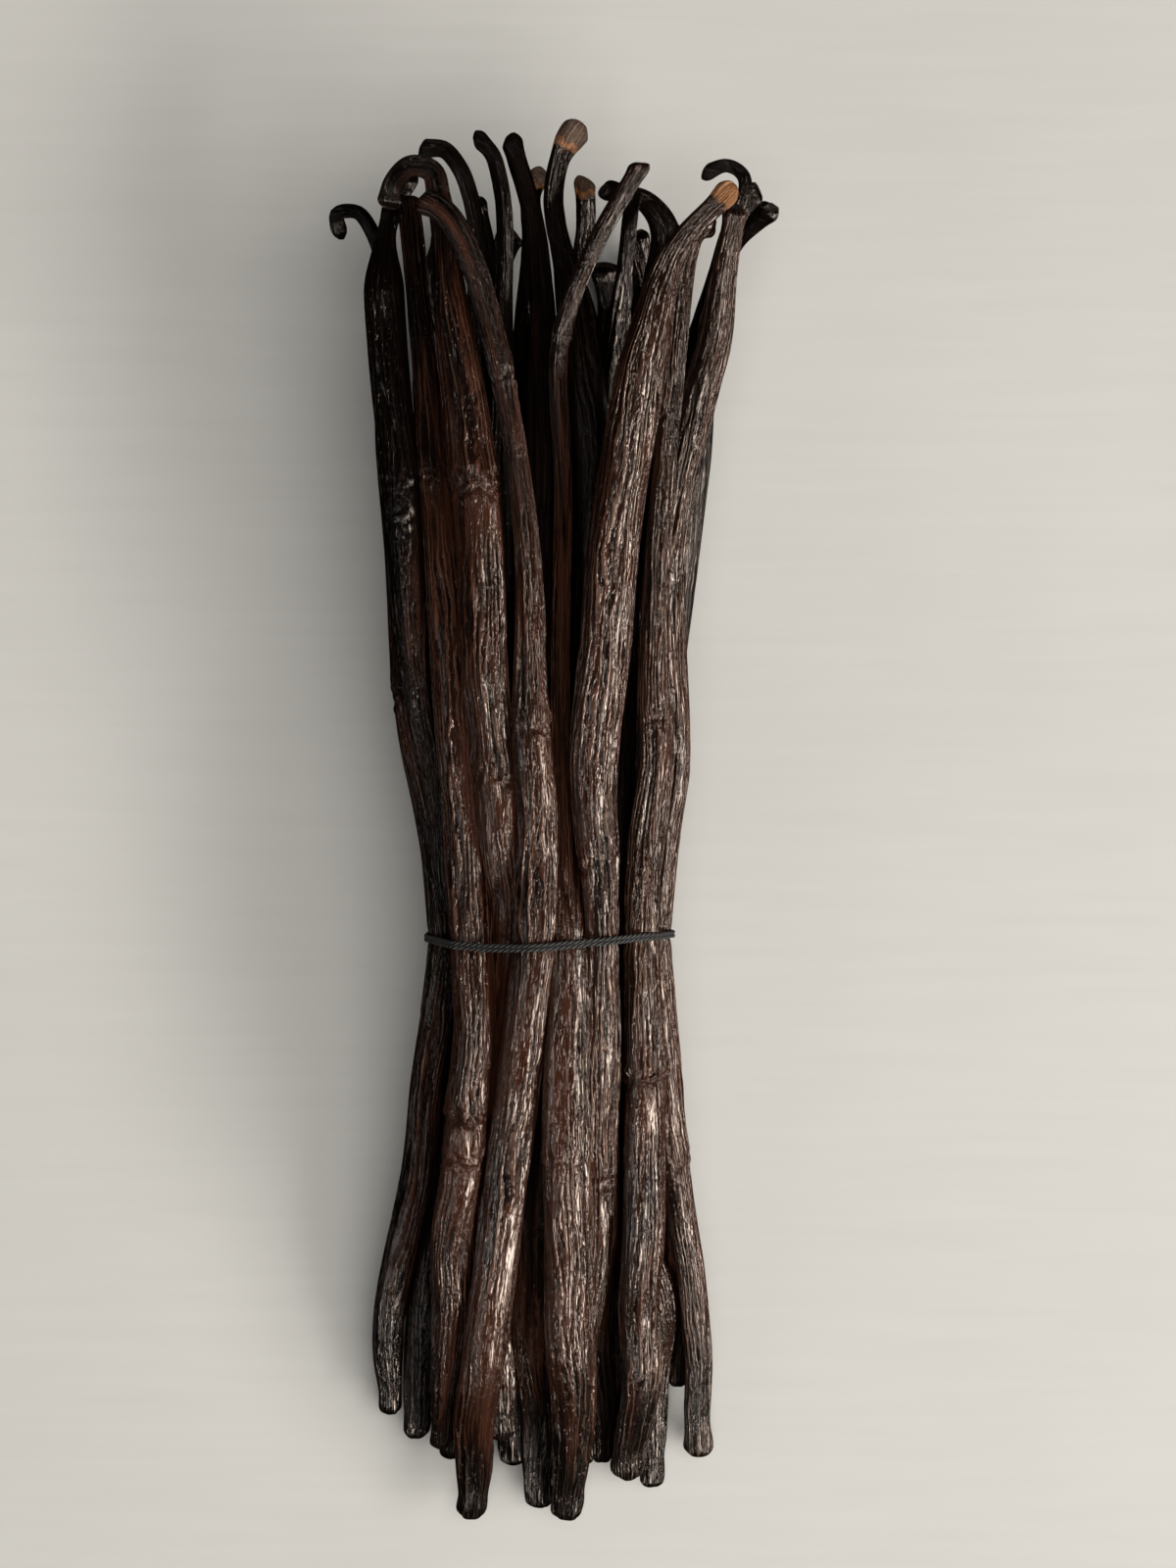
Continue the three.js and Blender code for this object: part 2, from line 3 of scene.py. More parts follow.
import bpy
import numpy as np
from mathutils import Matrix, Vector


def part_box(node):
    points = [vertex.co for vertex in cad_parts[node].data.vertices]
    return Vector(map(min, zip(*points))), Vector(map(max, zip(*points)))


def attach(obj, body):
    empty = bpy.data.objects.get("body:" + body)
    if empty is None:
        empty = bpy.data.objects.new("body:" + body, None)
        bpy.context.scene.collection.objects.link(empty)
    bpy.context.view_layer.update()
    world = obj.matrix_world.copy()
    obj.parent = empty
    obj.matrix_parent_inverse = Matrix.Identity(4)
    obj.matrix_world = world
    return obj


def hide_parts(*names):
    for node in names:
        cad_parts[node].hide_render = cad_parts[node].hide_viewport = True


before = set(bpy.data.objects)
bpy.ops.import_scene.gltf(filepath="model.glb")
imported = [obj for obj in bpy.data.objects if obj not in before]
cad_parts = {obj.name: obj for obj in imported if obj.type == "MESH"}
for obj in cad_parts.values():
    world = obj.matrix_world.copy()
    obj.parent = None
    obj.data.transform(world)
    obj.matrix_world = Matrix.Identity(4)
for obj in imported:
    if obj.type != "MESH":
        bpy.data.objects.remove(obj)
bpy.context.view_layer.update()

# A bundle of cured vanilla pods, tied round the waist with a doubled thread.
# The layout is in millimetres: y = 0 at the thread, stems towards +y, z = 0 on the board.
MM = 0.001

# ---- Sizes of the pods ----------------------------------------------------------------------

# A pod is wider than thick, and its thin stem ends in a small cut knob.
THICKNESS_RATIO = 0.88
NECK_WIDTH = 2.5
KNOB_SWELL = 1.14
KNOB_LENGTH = 1.8
TIP_RATIO = 0.62
TIP_LENGTH = 15

# Every route runs from tip to stem end as [x, y, height]. width is the widest part, stem the width of
# the thin stem where it differs, neck the stem's length, shoulder the run over which it widens, and
# waist the share of width left by the thread. nodes are the pinched rings: where along y, how strong.
# tone is how red and how dry the skin is. knob is how much wider the stem's end is, and knob_length how
# far. tan is how far that end is pale, bark 1 where the pale end is brown but for its lower edge, and
# ball how far it is rounded.
TOP_PODS = [
    dict(tone=(0.2, 0.3), width=5.2, neck=8, shoulder=32, nodes=[(32.7, 0.9), (-12, 0.3)], route=[
        [-22.8, -68.5, 3.5], [-21, -53.5, 6.5], [-17.8, -33.5, 11], [-16, -6, 18], [-14.9, 0, 18.8],
        [-15.2, 10, 19], [-19, 32, 18.5], [-20, 53, 18.5], [-22.4, 84, 20], [-22.2, 95, 22],
        [-18.5, 103, 24]]),
    dict(tone=(0.1, 0.2), width=6.1, stem=2.6, neck=3, shoulder=9, tip_ratio=0.25, tip_length=62, route=[
        [-13.9, 3.5, 22], [-14.8, 11, 24], [-17, 29, 25], [-19, 55, 26], [-21.7, 82, 26.5],
        [-21.8, 93, 27.5], [-20.6, 98, 28]], nodes=[(60, 0.4), (56, 0.4), (34, 0.5), (22.7, 0.5)]),
    dict(tone=(0.7, 0.42), width=6.1, stem=3.4, neck=8, shoulder=60, tip_ratio=0.42, tip_length=36, route=[
        [-15.5, -72.5, 6], [-13.2, -46.5, 14.5], [-11, -25, 21.5], [-10.8, 0, 25.2], [-11.7, 21, 26.5],
        [-14.4, 52, 27.5], [-16.2, 73, 28], [-18.1, 93, 28], [-19, 99, 26]],
        nodes=[(62, 0.5), (-24, 1.35), (-30, 0.9)]),
    dict(tone=(0.75, 0.42), width=6.3, stem=2.7, neck=2, shoulder=46, waist=0.84, route=[
        [-6.4, -71, 6], [-7.6, -52, 10], [-8.4, -22, 17.5], [-6.6, 0, 23.2], [-7.8, 15.5, 27.2],
        [-8.3, 28, 29.8], [-9.3, 58, 31], [-12.9, 85, 32.5], [-13.9, 96, 33.5], [-15.8, 102, 34],
        [-19.5, 101, 33], [-21, 97, 31]], nodes=[(60, 1.0), (22, 1.0)]),
    dict(tone=(0.7, 0.45), width=5.9, stem=3.1, neck=34, shoulder=56, waist=0.96, tip_ratio=0.58,
        tip_length=17, route=[
        [-11.4, -83, 4.5], [-10.4, -73, 8], [-8.8, -61, 11.7], [-8.2, -50, 15.5], [-3.2, -13, 26],
        [-1.9, 0, 28.3], [-3, 15, 29.5], [-2.4, 34, 31], [-3, 56, 32.5], [-7.1, 80, 34.5],
        [-10.6, 91, 36.5], [-13.1, 95, 37], [-16.6, 97, 36]], nodes=[(74, 0.7), (28, 1.0)]),
    dict(tone=(0.6, 0.5), width=6.4, stem=2.3, neck=73, shoulder=38, waist=0.78, tip_length=28, route=[
        [2.1, -83, 4.5], [3.4, -66, 11], [2.7, -46, 18], [2.4, -18, 26], [3.2, 0, 27.4], [3.2, 13, 26],
        [1.8, 29, 27.5], [2, 62, 31], [1.6, 79, 33], [6, 91, 34.5], [12.3, 101.5, 37]],
        nodes=[(-30, 0.45), (79, 0.5)]),
    dict(tone=(0.6, 0.65), width=6.9, stem=2.9, neck=5, shoulder=27, waist=0.74, tip_ratio=0.4,
        tip_length=110, knob=1.2, knob_length=3, tan=3.3, ball=1.7, route=[
        [4.9, -75.5, 4], [4.4, -58, 9], [5.8, -50, 11.5], [6.9, -41, 14.5], [6.7, -24, 20.5],
        [7.2, -13, 24], [6.9, 0, 27], [7, 15, 29.5], [7.3, 31, 31], [9.2, 56, 33.5],
        [13.4, 79.5, 36], [16.6, 90, 37], [24.3, 98.5, 38]], nodes=[(-33, 0.4), (10.5, 0.6)]),
    dict(tone=(0.5, 0.72), width=6.4, stem=3.2, neck=26, shoulder=90, waist=0.85, tip_ratio=0.72,
        tip_length=26, route=[
        [11.3, -77, 5], [12.1, -61, 9.5], [12.9, -32, 18], [13.5, 0, 23], [14.6, 16, 24.3],
        [14.1, 32, 25], [14.6, 50, 26.5], [17.3, 82, 29], [18.2, 90, 29], [19.2, 93.5, 29],
        [22.3, 95.5, 28.5]],
        nodes=[(69.4, 1.0), (29, 1.1), (10, 0.8), (-18.7, 1.7)]),
    dict(tone=(0.5, 0.8), width=5.3, stem=3.2, neck=2, shoulder=20, tip_ratio=0.8, tip_length=150, route=[
        [21.2, -74.5, 3.5], [19.2, -53.5, 7], [16.2, -19.5, 15], [14.7, 0, 18], [16.8, 20, 19.5],
        [16.4, 52, 21.5], [20.5, 74, 24.5], [22.2, 80.5, 26.5], [23.4, 90, 28.5], [24.6, 97.5, 30]],
        nodes=[(-32, 0.8)]),
]

# Pods of the second layer, which show at both ends.
SECOND_PODS = [
    dict(width=5.5, stem=2.1, neck=20, shoulder=30, route=[
        [-19.3, -72, 3.5], [-16.9, -36, 8.5], [-13.6, 0, 12.6], [-15.8, 25, 13.5], [-20, 64, 16],
        [-22.5, 91, 18.5], [-24.2, 96.3, 20], [-26.7, 99, 21], [-29, 98.3, 20], [-28.6, 95.9, 18.5]]),
    dict(width=5.6, stem=2.5, neck=14, shoulder=34, route=[
        [-14.5, -75, 3.5], [-12.7, -39, 11], [-9.6, 0, 17.6], [-10.5, 42, 20], [-9.6, 79, 24.5],
        [-10.2, 98.5, 28], [-13.5, 105, 29], [-17, 105.5, 28]]),
    dict(width=5.6, stem=2.3, neck=20, shoulder=34, route=[
        [-4.2, -75.5, 3.5], [-6.4, -39, 11], [-4.3, 0, 16.8], [-5.5, 42, 21.5], [-6, 76, 27],
        [-5.8, 97.5, 30.5], [-7.5, 104.5, 31], [-9.5, 106.5, 31]]),
    dict(width=5.5, stem=2.5, neck=12, shoulder=34, route=[
        [-1.5, -82, 3], [-3.4, -70, 4.5], [-4, -50, 9], [-1, 0, 22.2], [-1, 40, 25], [-0.5, 70.5, 28],
        [-1.5, 93.5, 30], [-5, 106.5, 30]]),
    dict(width=5.5, stem=2.6, neck=15, shoulder=13, knob=1.45, knob_length=4, tan=4, bark=1, route=[
        [7, -75.5, 3], [7, -38, 11], [4.3, 0, 21.6], [5.2, 37, 25], [6.5, 64, 28], [3.5, 84.5, 30],
        [0.8, 98, 31], [2, 104, 32], [4.2, 107.5, 32]]),
    dict(width=5.6, stem=2.3, neck=10, shoulder=18, route=[
        [14.2, -79, 3.5], [12, -52, 7.5], [10.4, -30, 12.5], [8.7, 0, 18.8], [9.8, 42, 22], [8.7, 73, 27],
        [10.6, 93.5, 30.5], [11, 99.5, 31]]),
    dict(width=5.2, stem=2.1, neck=22, shoulder=24, route=[
        [17.2, -65, 4], [16.5, -30, 9.5], [13.3, 0, 12.8], [16.5, 39.5, 17], [20.8, 76, 22],
        [22.6, 86, 24], [24, 95, 25], [26.4, 100.5, 25], [25.2, 104, 25], [20.8, 103, 24]]),
]

# Pods underneath. place is where [x, height] in the section at the thread, tip_y the y of the tip, and
# last the route of the stretch to the stem end.
UNDER_PODS = [
    dict(place=[8.6, 13.3], tip_y=-66, stem=2.9, last=[[22.3, 88, 20], [25.5, 98, 21.5], [28.4, 101.5, 22]]),
    dict(place=[3.6, 16.2], tip_y=-57, stem=2.8, neck=3, shoulder=15, last=[
        [14.3, 84, 25], [16, 93.5, 27], [13.2, 98.4, 29], [7.5, 99.7, 31]]),
    dict(place=[3.3, 10.8], tip_y=-64, tan=2.2, bark=1, last=[[3.8, 88, 20], [5, 96, 23], [4.9, 102, 26]]),
    dict(place=[-2, 11.4], tip_y=-62, stem=2.7, tan=2, bark=1, last=[
        [-3, 84, 19], [-2.2, 95, 23], [-2.3, 100.5, 25], [-0.8, 102.9, 26]]),
    dict(place=[-7.2, 12.2], tip_y=-67, last=[[-9.5, 84, 17], [-8.5, 93, 20], [-10, 100, 22]]),
    dict(place=[10.3, 8.5], tip_y=-61, stem=2.9, last=[
        [17, 62, 5.5], [22.3, 84, 9], [25, 95, 16], [30.5, 99.5, 20]]),
    dict(place=[5.9, 5.8], tip_y=-69, stem=3.6, last=[
        [9.8, 62, 1.8], [12, 82, 1.6], [13.5, 92, 2.4], [12, 99, 5]]),
    dict(place=[0.6, 4.6], tip_y=-64, stem=3.6, last=[
        [3.2, 62, 1.8], [7.4, 80, 1.5], [8.6, 90, 1.6], [7.4, 95, 3]]),
    dict(place=[-4.8, 5.4], tip_y=-66, stem=3.6, last=[
        [-6.8, 62, 1.8], [-7.5, 84, 1.6], [-8, 93, 2.6], [-5.5, 99, 6]]),
    dict(place=[-9.8, 8], tip_y=-65, stem=3.6, last=[
        [-13.5, 62, 2.6], [-14.5, 84, 3.4], [-16.5, 92, 6], [-14.5, 98, 10]]),
]
UNDER_POD = dict(width=5.7, neck=11, shoulder=28)
UNDER_STATIONS = (-35, 0, 40)

# The bundle's section along its length: y, half width, half height and height of the middle.
ENVELOPE = np.array([
    [-85, 23, 6, 6], [-59, 22.9, 8.3, 8.2], [-45, 21.9, 10.3, 10.3], [-32, 20.3, 12.2, 12.6],
    [-18, 18.6, 13.8, 15], [0, 16.9, 14.5, 16.7], [21, 18.8, 15.2, 16.5], [34, 20.1, 15.8, 16.2],
    [61, 22, 17, 16.8], [110, 27, 18.5, 18.5]])

# How the pods are settled against each other: those nearer than NEAR_ALONG in y and NEAR_ACROSS in
# the section may meet, and stations up to MEETING_REACH apart in y push.
STATIONS = 56
ROUTE_STEPS = 24
SETTLE_ROUNDS = 60
SMOOTHINGS = 2
NEAR_ALONG = 9
NEAR_ACROSS = 16
MEETING_REACH = 4
SQUASH = 0.93
MOBILITY = dict(top=0.3, second=0.6, under=1.0)
PUSH = 0.7
PULL_HOME = 0.02
HOLD_FIRM = 8
HOLD_SLACK = 0.00035
SQUEEZE_LENGTH = 15
PRESS = 0.35

# Fineness of the pods' surfaces: points around and rings along, and how far the points around crowd
# towards the outward side.
GRID = dict(top=(120, 246), second=(84, 190), under=(60, 140))
LEAN = dict(top=0.35, second=0.3, under=0.0)

# Painted shade: how much darker the skin is painted where it shows only through gaps.
SHADE = dict(top=0.0, second=0.75, under=1.0)

# ---- Numbers and noise ----------------------------------------------------------------------


def smoothstep(t):
    """0 below 0, 1 above 1, and 3t^2 - 2t^3 between."""
    u = np.clip(t, 0.0, 1.0)
    return u * u * (3.0 - 2.0 * u)


def bell(distance, width):
    """Bell curve exp(-(distance / width)^2)."""
    return np.exp(-((distance / width) ** 2))


def mix(a, b, t):
    """a where t is 0, b where t is 1."""
    return a + (b - a) * t


class Noise:
    """Seeded gradient noise in space: at each corner of a unit grid a random direction, dotted with the
    way from the corner, and the eight corners blended by 6t^5 - 15t^4 + 10t^3. About -0.8 to 0.8."""

    SIZE = 256

    def __init__(self, seed):
        rng = np.random.default_rng(seed)
        self.order = rng.permutation(self.SIZE)
        ways = rng.normal(size=(self.SIZE, 3))
        self.ways = ways / np.linalg.norm(ways, axis=1)[:, None]

    def _corner(self, cell, part, shift):
        i, j, k = (c + d for c, d in zip(cell, shift))
        mask = self.SIZE - 1
        way = self.ways[self.order[(self.order[(self.order[i & mask] + j) & mask] + k) & mask]]
        u, v, w = (p - d for p, d in zip(part, shift))
        return way[..., 0] * u + way[..., 1] * v + way[..., 2] * w

    def __call__(self, x, y, z):
        x, y, z = np.broadcast_arrays(x, y, z)
        cell = [np.floor(v).astype(np.int64) for v in (x, y, z)]
        part = [v - c for v, c in zip((x, y, z), cell)]
        u, v, w = (p * p * p * (p * (p * 6 - 15) + 10) for p in part)
        rows = []
        for k in (0, 1):
            near = mix(self._corner(cell, part, (0, 0, k)), self._corner(cell, part, (1, 0, k)), u)
            far = mix(self._corner(cell, part, (0, 1, k)), self._corner(cell, part, (1, 1, k)), u)
            rows.append(mix(near, far, v))
        return mix(rows[0], rows[1], w)


# ---- Layout of the bundle -------------------------------------------------------------------


def envelope(y):
    """Half width, half height and middle of the bundle at y, straight between the given sections."""
    return [np.interp(y, ENVELOPE[:, 0], ENVELOPE[:, k]) for k in (1, 2, 3)]


def width_at(pod, s, length, y):
    """Width of a pod at distance s from its tip: it grows from the tip, shrinks to the neck, and is
    squeezed by a bell curve along y where the thread holds it."""
    tip = pod.get("tip_ratio", TIP_RATIO)
    grown = smoothstep(0.5 + s / pod.get("tip_length", TIP_LENGTH) / 2) * 2 - 1
    squeeze = 1 - (1 - pod.get("waist", 1)) * bell(y, SQUEEZE_LENGTH)
    full = pod["width"] * mix(tip, 1, grown) * squeeze
    wide = smoothstep((length - pod["neck"] - s) / pod["shoulder"])
    return mix(pod.get("stem", NECK_WIDTH), full, wide)


def smooth_curve(points, steps):
    """Centripetal Catmull-Rom curve: cubic pieces through the points, whose slopes weigh the
    neighbouring chords by the square root of their lengths. Ends are mirrored."""
    p = np.asarray(points, float)
    p = np.vstack([2 * p[0] - p[1], p, 2 * p[-1] - p[-2]])
    gap = np.maximum(np.linalg.norm(np.diff(p, axis=0), axis=1) ** 0.5, 1e-4)[:, None]
    chord = np.diff(p, axis=0)
    d0, d1, d2 = gap[:-2], gap[1:-1], gap[2:]
    c0, c1, c2 = chord[:-2], chord[1:-1], chord[2:]
    leave = (c0 / d0 - (c0 + c1) / (d0 + d1) + c1 / d1) * d1
    reach = (c1 / d1 - (c1 + c2) / (d1 + d2) + c2 / d2) * d1
    t = np.linspace(0, 1, steps, endpoint=False)[None, :, None]
    a, b, m, n = p[1:-2, None], p[2:-1, None], leave[:, None], reach[:, None]
    curve = a + m * t + (3 * (b - a) - 2 * m - n) * t ** 2 + (2 * (a - b) + m + n) * t ** 3
    return np.vstack([curve.reshape(-1, 3), p[-2:-1]])


def at_shares(curve, shares):
    """Points at the given shares of a curve's length, and that length."""
    s = np.concatenate([[0], np.cumsum(np.linalg.norm(np.diff(curve, axis=0), axis=1))])
    return np.stack([np.interp(shares * s[-1], s, curve[:, k]) for k in range(3)], 1), s[-1]


def under_route(pod):
    """Route of an underneath pod: its place at the thread, carried outwards as the envelope widens."""
    radius = UNDER_POD["width"] / 2
    x, height = pod["place"]
    half_width, half_height, middle = envelope(0)

    def place(y):
        wide, tall, centre = envelope(y)
        lift = (height - middle) * (tall - radius) / (half_height - radius)
        return [x * (wide - radius) / (half_width - radius), y, centre + lift]

    return [place(pod["tip_y"]), *(place(y) for y in UNDER_STATIONS), *pod["last"]]


def lay_pods():
    """Every pod with its layer, route length, stations along its route and radii there."""
    pods = [dict(pod, layer="top") for pod in TOP_PODS]
    pods += [dict(pod, layer="second") for pod in SECOND_PODS]
    pods += [dict(UNDER_POD, **pod, layer="under", route=under_route(pod)) for pod in UNDER_PODS]
    shares = np.linspace(0, 1, STATIONS)
    for index, pod in enumerate(pods):
        at, length = at_shares(smooth_curve(pod["route"], ROUTE_STEPS), shares)
        pod.update(index=index, at=at, length=length)
        pod["radius"] = width_at(pod, shares * length, length, at[:, 1]) / 2
    return pods


def near_pairs(at, radius):
    """Pairs of stations of different pods that are close enough to meet while the pods settle."""
    flat = at.reshape(-1, 3)
    owner = np.repeat(np.arange(len(at)), STATIONS)
    i, j = np.triu_indices(len(flat), 1)
    near = (owner[i] != owner[j]) & (np.abs(flat[i, 1] - flat[j, 1]) < NEAR_ALONG)
    near &= np.hypot(flat[i, 0] - flat[j, 0], flat[i, 2] - flat[j, 2]) < NEAR_ACROSS
    i, j = i[near], j[near]
    return i, j, SQUASH * (radius.reshape(-1)[i] + radius.reshape(-1)[j])


def hold_move(at, radius, floor):
    """The move that brings stations back inside the bound waist and above the board."""
    wide, tall, middle = envelope(at[..., 1])
    slack = 1 + HOLD_SLACK * np.maximum(0, np.abs(at[..., 1]) - HOLD_FIRM) ** 2
    reach = np.hypot(at[..., 0] / (wide - radius), (at[..., 2] - middle) / (tall - radius)) / slack
    back = 1 / np.maximum(reach, 1) - 1
    move = np.stack([at[..., 0] * back, 0 * back, (at[..., 2] - middle) * back], -1)
    move[..., 2] = np.maximum(move[..., 2], floor - at[..., 2])
    return move


def settle(pods):
    """Parts the pods where they overlap: each round, stations nearer than their radii push apart by
    the overlap, shared by mobility, and the moves are smoothed along each pod."""
    at = np.array([pod["at"] for pod in pods])
    home = at.copy()
    radius = np.array([pod["radius"] for pod in pods])
    mobility = np.repeat([MOBILITY[pod["layer"]] for pod in pods], STATIONS)
    floor = radius * THICKNESS_RATIO - PRESS
    i, j, meet = near_pairs(at, radius)
    share = (mobility[i] / (mobility[i] + mobility[j]))[:, None]
    count = len(mobility)
    for _ in range(SETTLE_ROUNDS):
        flat = at.reshape(-1, 3)
        apart = flat[i] - flat[j]
        distance = np.maximum(np.linalg.norm(apart, axis=1), 1e-6)
        overlap = meet - distance
        overlap = np.where((overlap > 0) & (np.abs(apart[:, 1]) <= MEETING_REACH), overlap, 0)
        push = apart * (overlap * overlap / distance)[:, None]
        move = np.zeros_like(flat)
        for k in range(3):
            move[:, k] = np.bincount(i, (push * share)[:, k], count)
            move[:, k] -= np.bincount(j, (push * (1 - share))[:, k], count)
        weight = np.bincount(i, overlap, count) + np.bincount(j, overlap, count)
        move *= np.where(weight > 0, PUSH / np.maximum(weight, 1e-12), 0)[:, None]
        move = move.reshape(at.shape) + hold_move(at, radius, floor)
        for _ in range(SMOOTHINGS):
            padded = np.concatenate([move[:, :1], move, move[:, -1:]], 1)
            move = 0.25 * (padded[:, :-2] + padded[:, 2:]) + 0.5 * move
        at = at + move
        at = at + (home - at) * PULL_HOME
        at[..., 2] = np.maximum(at[..., 2], floor)
    for pod, place in zip(pods, at):
        pod["at"] = place


# ---- One pod --------------------------------------------------------------------------------

# Relief in millimetres. A cell is the size of the noise across and along the pod.
SKIN_RADIUS = 3.0
FOLD = dict(across=2.1, along=30, height=0.20)
LOBE = dict(across=4.5, along=70, height=0.14)
PATCH = dict(across=3.0, along=22)
STRENGTH = dict(across=0.9, along=13)
FURROW = dict(across=2.0, along=20, depth=0.38, width=0.09)
SWAY = dict(across=1.5, along=9, reach=0.30)
DRIFT = dict(across=5, along=30, reach=1.3)
CRUMPLE = dict(across=1.6, along=1.0, height=0.5)

# Ridges run lengthwise in two families that merge. WEAVE and SHIVER bend them, by shares
# of their spacing.
FINE_RIDGES = dict(count=25, height=0.18)
BROAD_RIDGES = dict(count=16, height=0.24)
WEAVE = dict(across=1.9, along=12, reach=1.2)
SHIVER = dict(across=1.1, along=3.6, reach=0.55)

# A pinched ring: a valley that wanders, a swelling above it and a knot in the ridges.
PINCH_DEPTH = 0.24
PINCH_WIDTH = 0.7
PINCH_WANDER = 1.0
PINCH_SWELL = 0.26
PINCH_KNOT = 1.4

# The dent under the thread.
DENT_PLACE = 0.2
DENT_DEPTH = 0.3
DENT_WIDTH = 0.8

# Pods without nodes or tone of their own draw them: nodes near these shares of the length, give or
# take a little, and a tone between these two.
DRAWN_NODES = (0.22, 0.5, 0.72)
NODE_STRAY = 0.08
NODE_STRENGTHS = (0.4, 0.9)
DRAWN_TONE = ((0.0, 0.05), (0.45, 0.4))

# Share of the wrinkles that smooth faces keep: more where the skin is dry, less where it is red and
# lies below the thread, though not at the tip.
EVENNESS = dict(least=0.4, dry=0.35, red=0.45)
SMOOTH_BELOW = (10, 30)
SMOOTH_FROM_TIP = (14, 22)

# The relief fades on thin stems and right at the tip.
FULL_RELIEF_RADIUS = 2.6
STEM_RELIEF_POWER = 0.45
TIP_CALM = 1.2

# The tip closes bluntly, as a superellipse, behind a slight knob.
TIP_CLOSING = 0.8
TIP_POWER = 2.5
TIP_KNOB = 0.05
TIP_UNEVEN = 0.2

# The stem's end: a slanted, uneven cut with a rounded rim and a hollow face.
CUT_SLANT = 0.4
CUT_UNEVEN = 0.13
CUT_ROUND = 0.8
CUT_RIM = 1.1
CUT_REACH = 2.5
CUT_HOLLOW = 0.16
CUT_RINGS = ((0.22, 0.3), (0.5, -0.4), (0.8, -1))
BALL_ROUND = 0.96
BALL_HOLLOW = 0.05
BARK_EDGE = 0.9

# The skin is darker near the tip. Near the stem end, and where it shows only through gaps from y to y, it is
# darkened as painted shade.
STEM_SHADE_REACH = 58
STEM_SHADE_FADE = 42
TIP_FADE = 24
GAPS = (-50, 84)
GAPS_FADE = (20, 16)

# Points of a pod's curve between two stations, and along it where places are looked up.
CURVE_STEPS = 12
CURVE_POINTS = 1200
CURVE_LOOK = 0.002
BOARD_GAP = 0.02
SHAPE_SEED = 500
SKIN_SEED = 900


def station_sides(pod):
    """Side direction at each station: level at the pod's middle, then carried along without twist."""
    at = pod["at"]
    tangent = np.gradient(at, axis=0)
    tangent /= np.linalg.norm(tangent, axis=1)[:, None]
    middle = STATIONS // 2
    outward = np.array([at[middle, 0], 0, at[middle, 2] - envelope(at[middle, 1])[2]])
    sides = np.zeros_like(at)
    sides[middle] = np.cross(tangent[middle], outward)
    onwards = [(k, k - 1) for k in range(middle + 1, STATIONS)]
    back = [(k, k + 1) for k in range(middle - 1, -1, -1)]
    sides[middle] /= np.linalg.norm(sides[middle])
    for k, before in onwards + back:
        side = sides[before] - tangent[k] * (sides[before] @ tangent[k])
        sides[k] = side / np.linalg.norm(side)
    return sides


def ring_distances(length, rings, nodes):
    """Distances from the tip at which the pod has a ring: dense round the tip, the knob and the nodes."""
    fine = np.linspace(0, length, 4000)
    density = np.ones_like(fine)
    for place, _ in nodes:
        density += 4 * bell(fine - place - 0.4, 1.7)
    density += 5 * bell(fine, 1.6) + 4 * bell(fine - length, 1.6)
    density += 1.6 * smoothstep((fine - length + 26) / 12)
    total = np.concatenate([[0], np.cumsum((density[1:] + density[:-1]) / 2)])
    return np.interp(np.linspace(0, total[-1], rings), total, fine)


def pod_nodes(pod, route, rng):
    """Distances from the tip of the pinched rings, and their strengths: given along y, or drawn."""
    distance = np.linspace(0, pod["length"], len(route))
    if "nodes" in pod:
        return [(float(np.interp(y, route[:, 1], distance)), strength) for y, strength in pod["nodes"]]
    places = pod["length"] * (np.array(DRAWN_NODES) + rng.uniform(-NODE_STRAY, NODE_STRAY, 3))
    return list(zip(places, rng.uniform(*NODE_STRENGTHS, 3)))


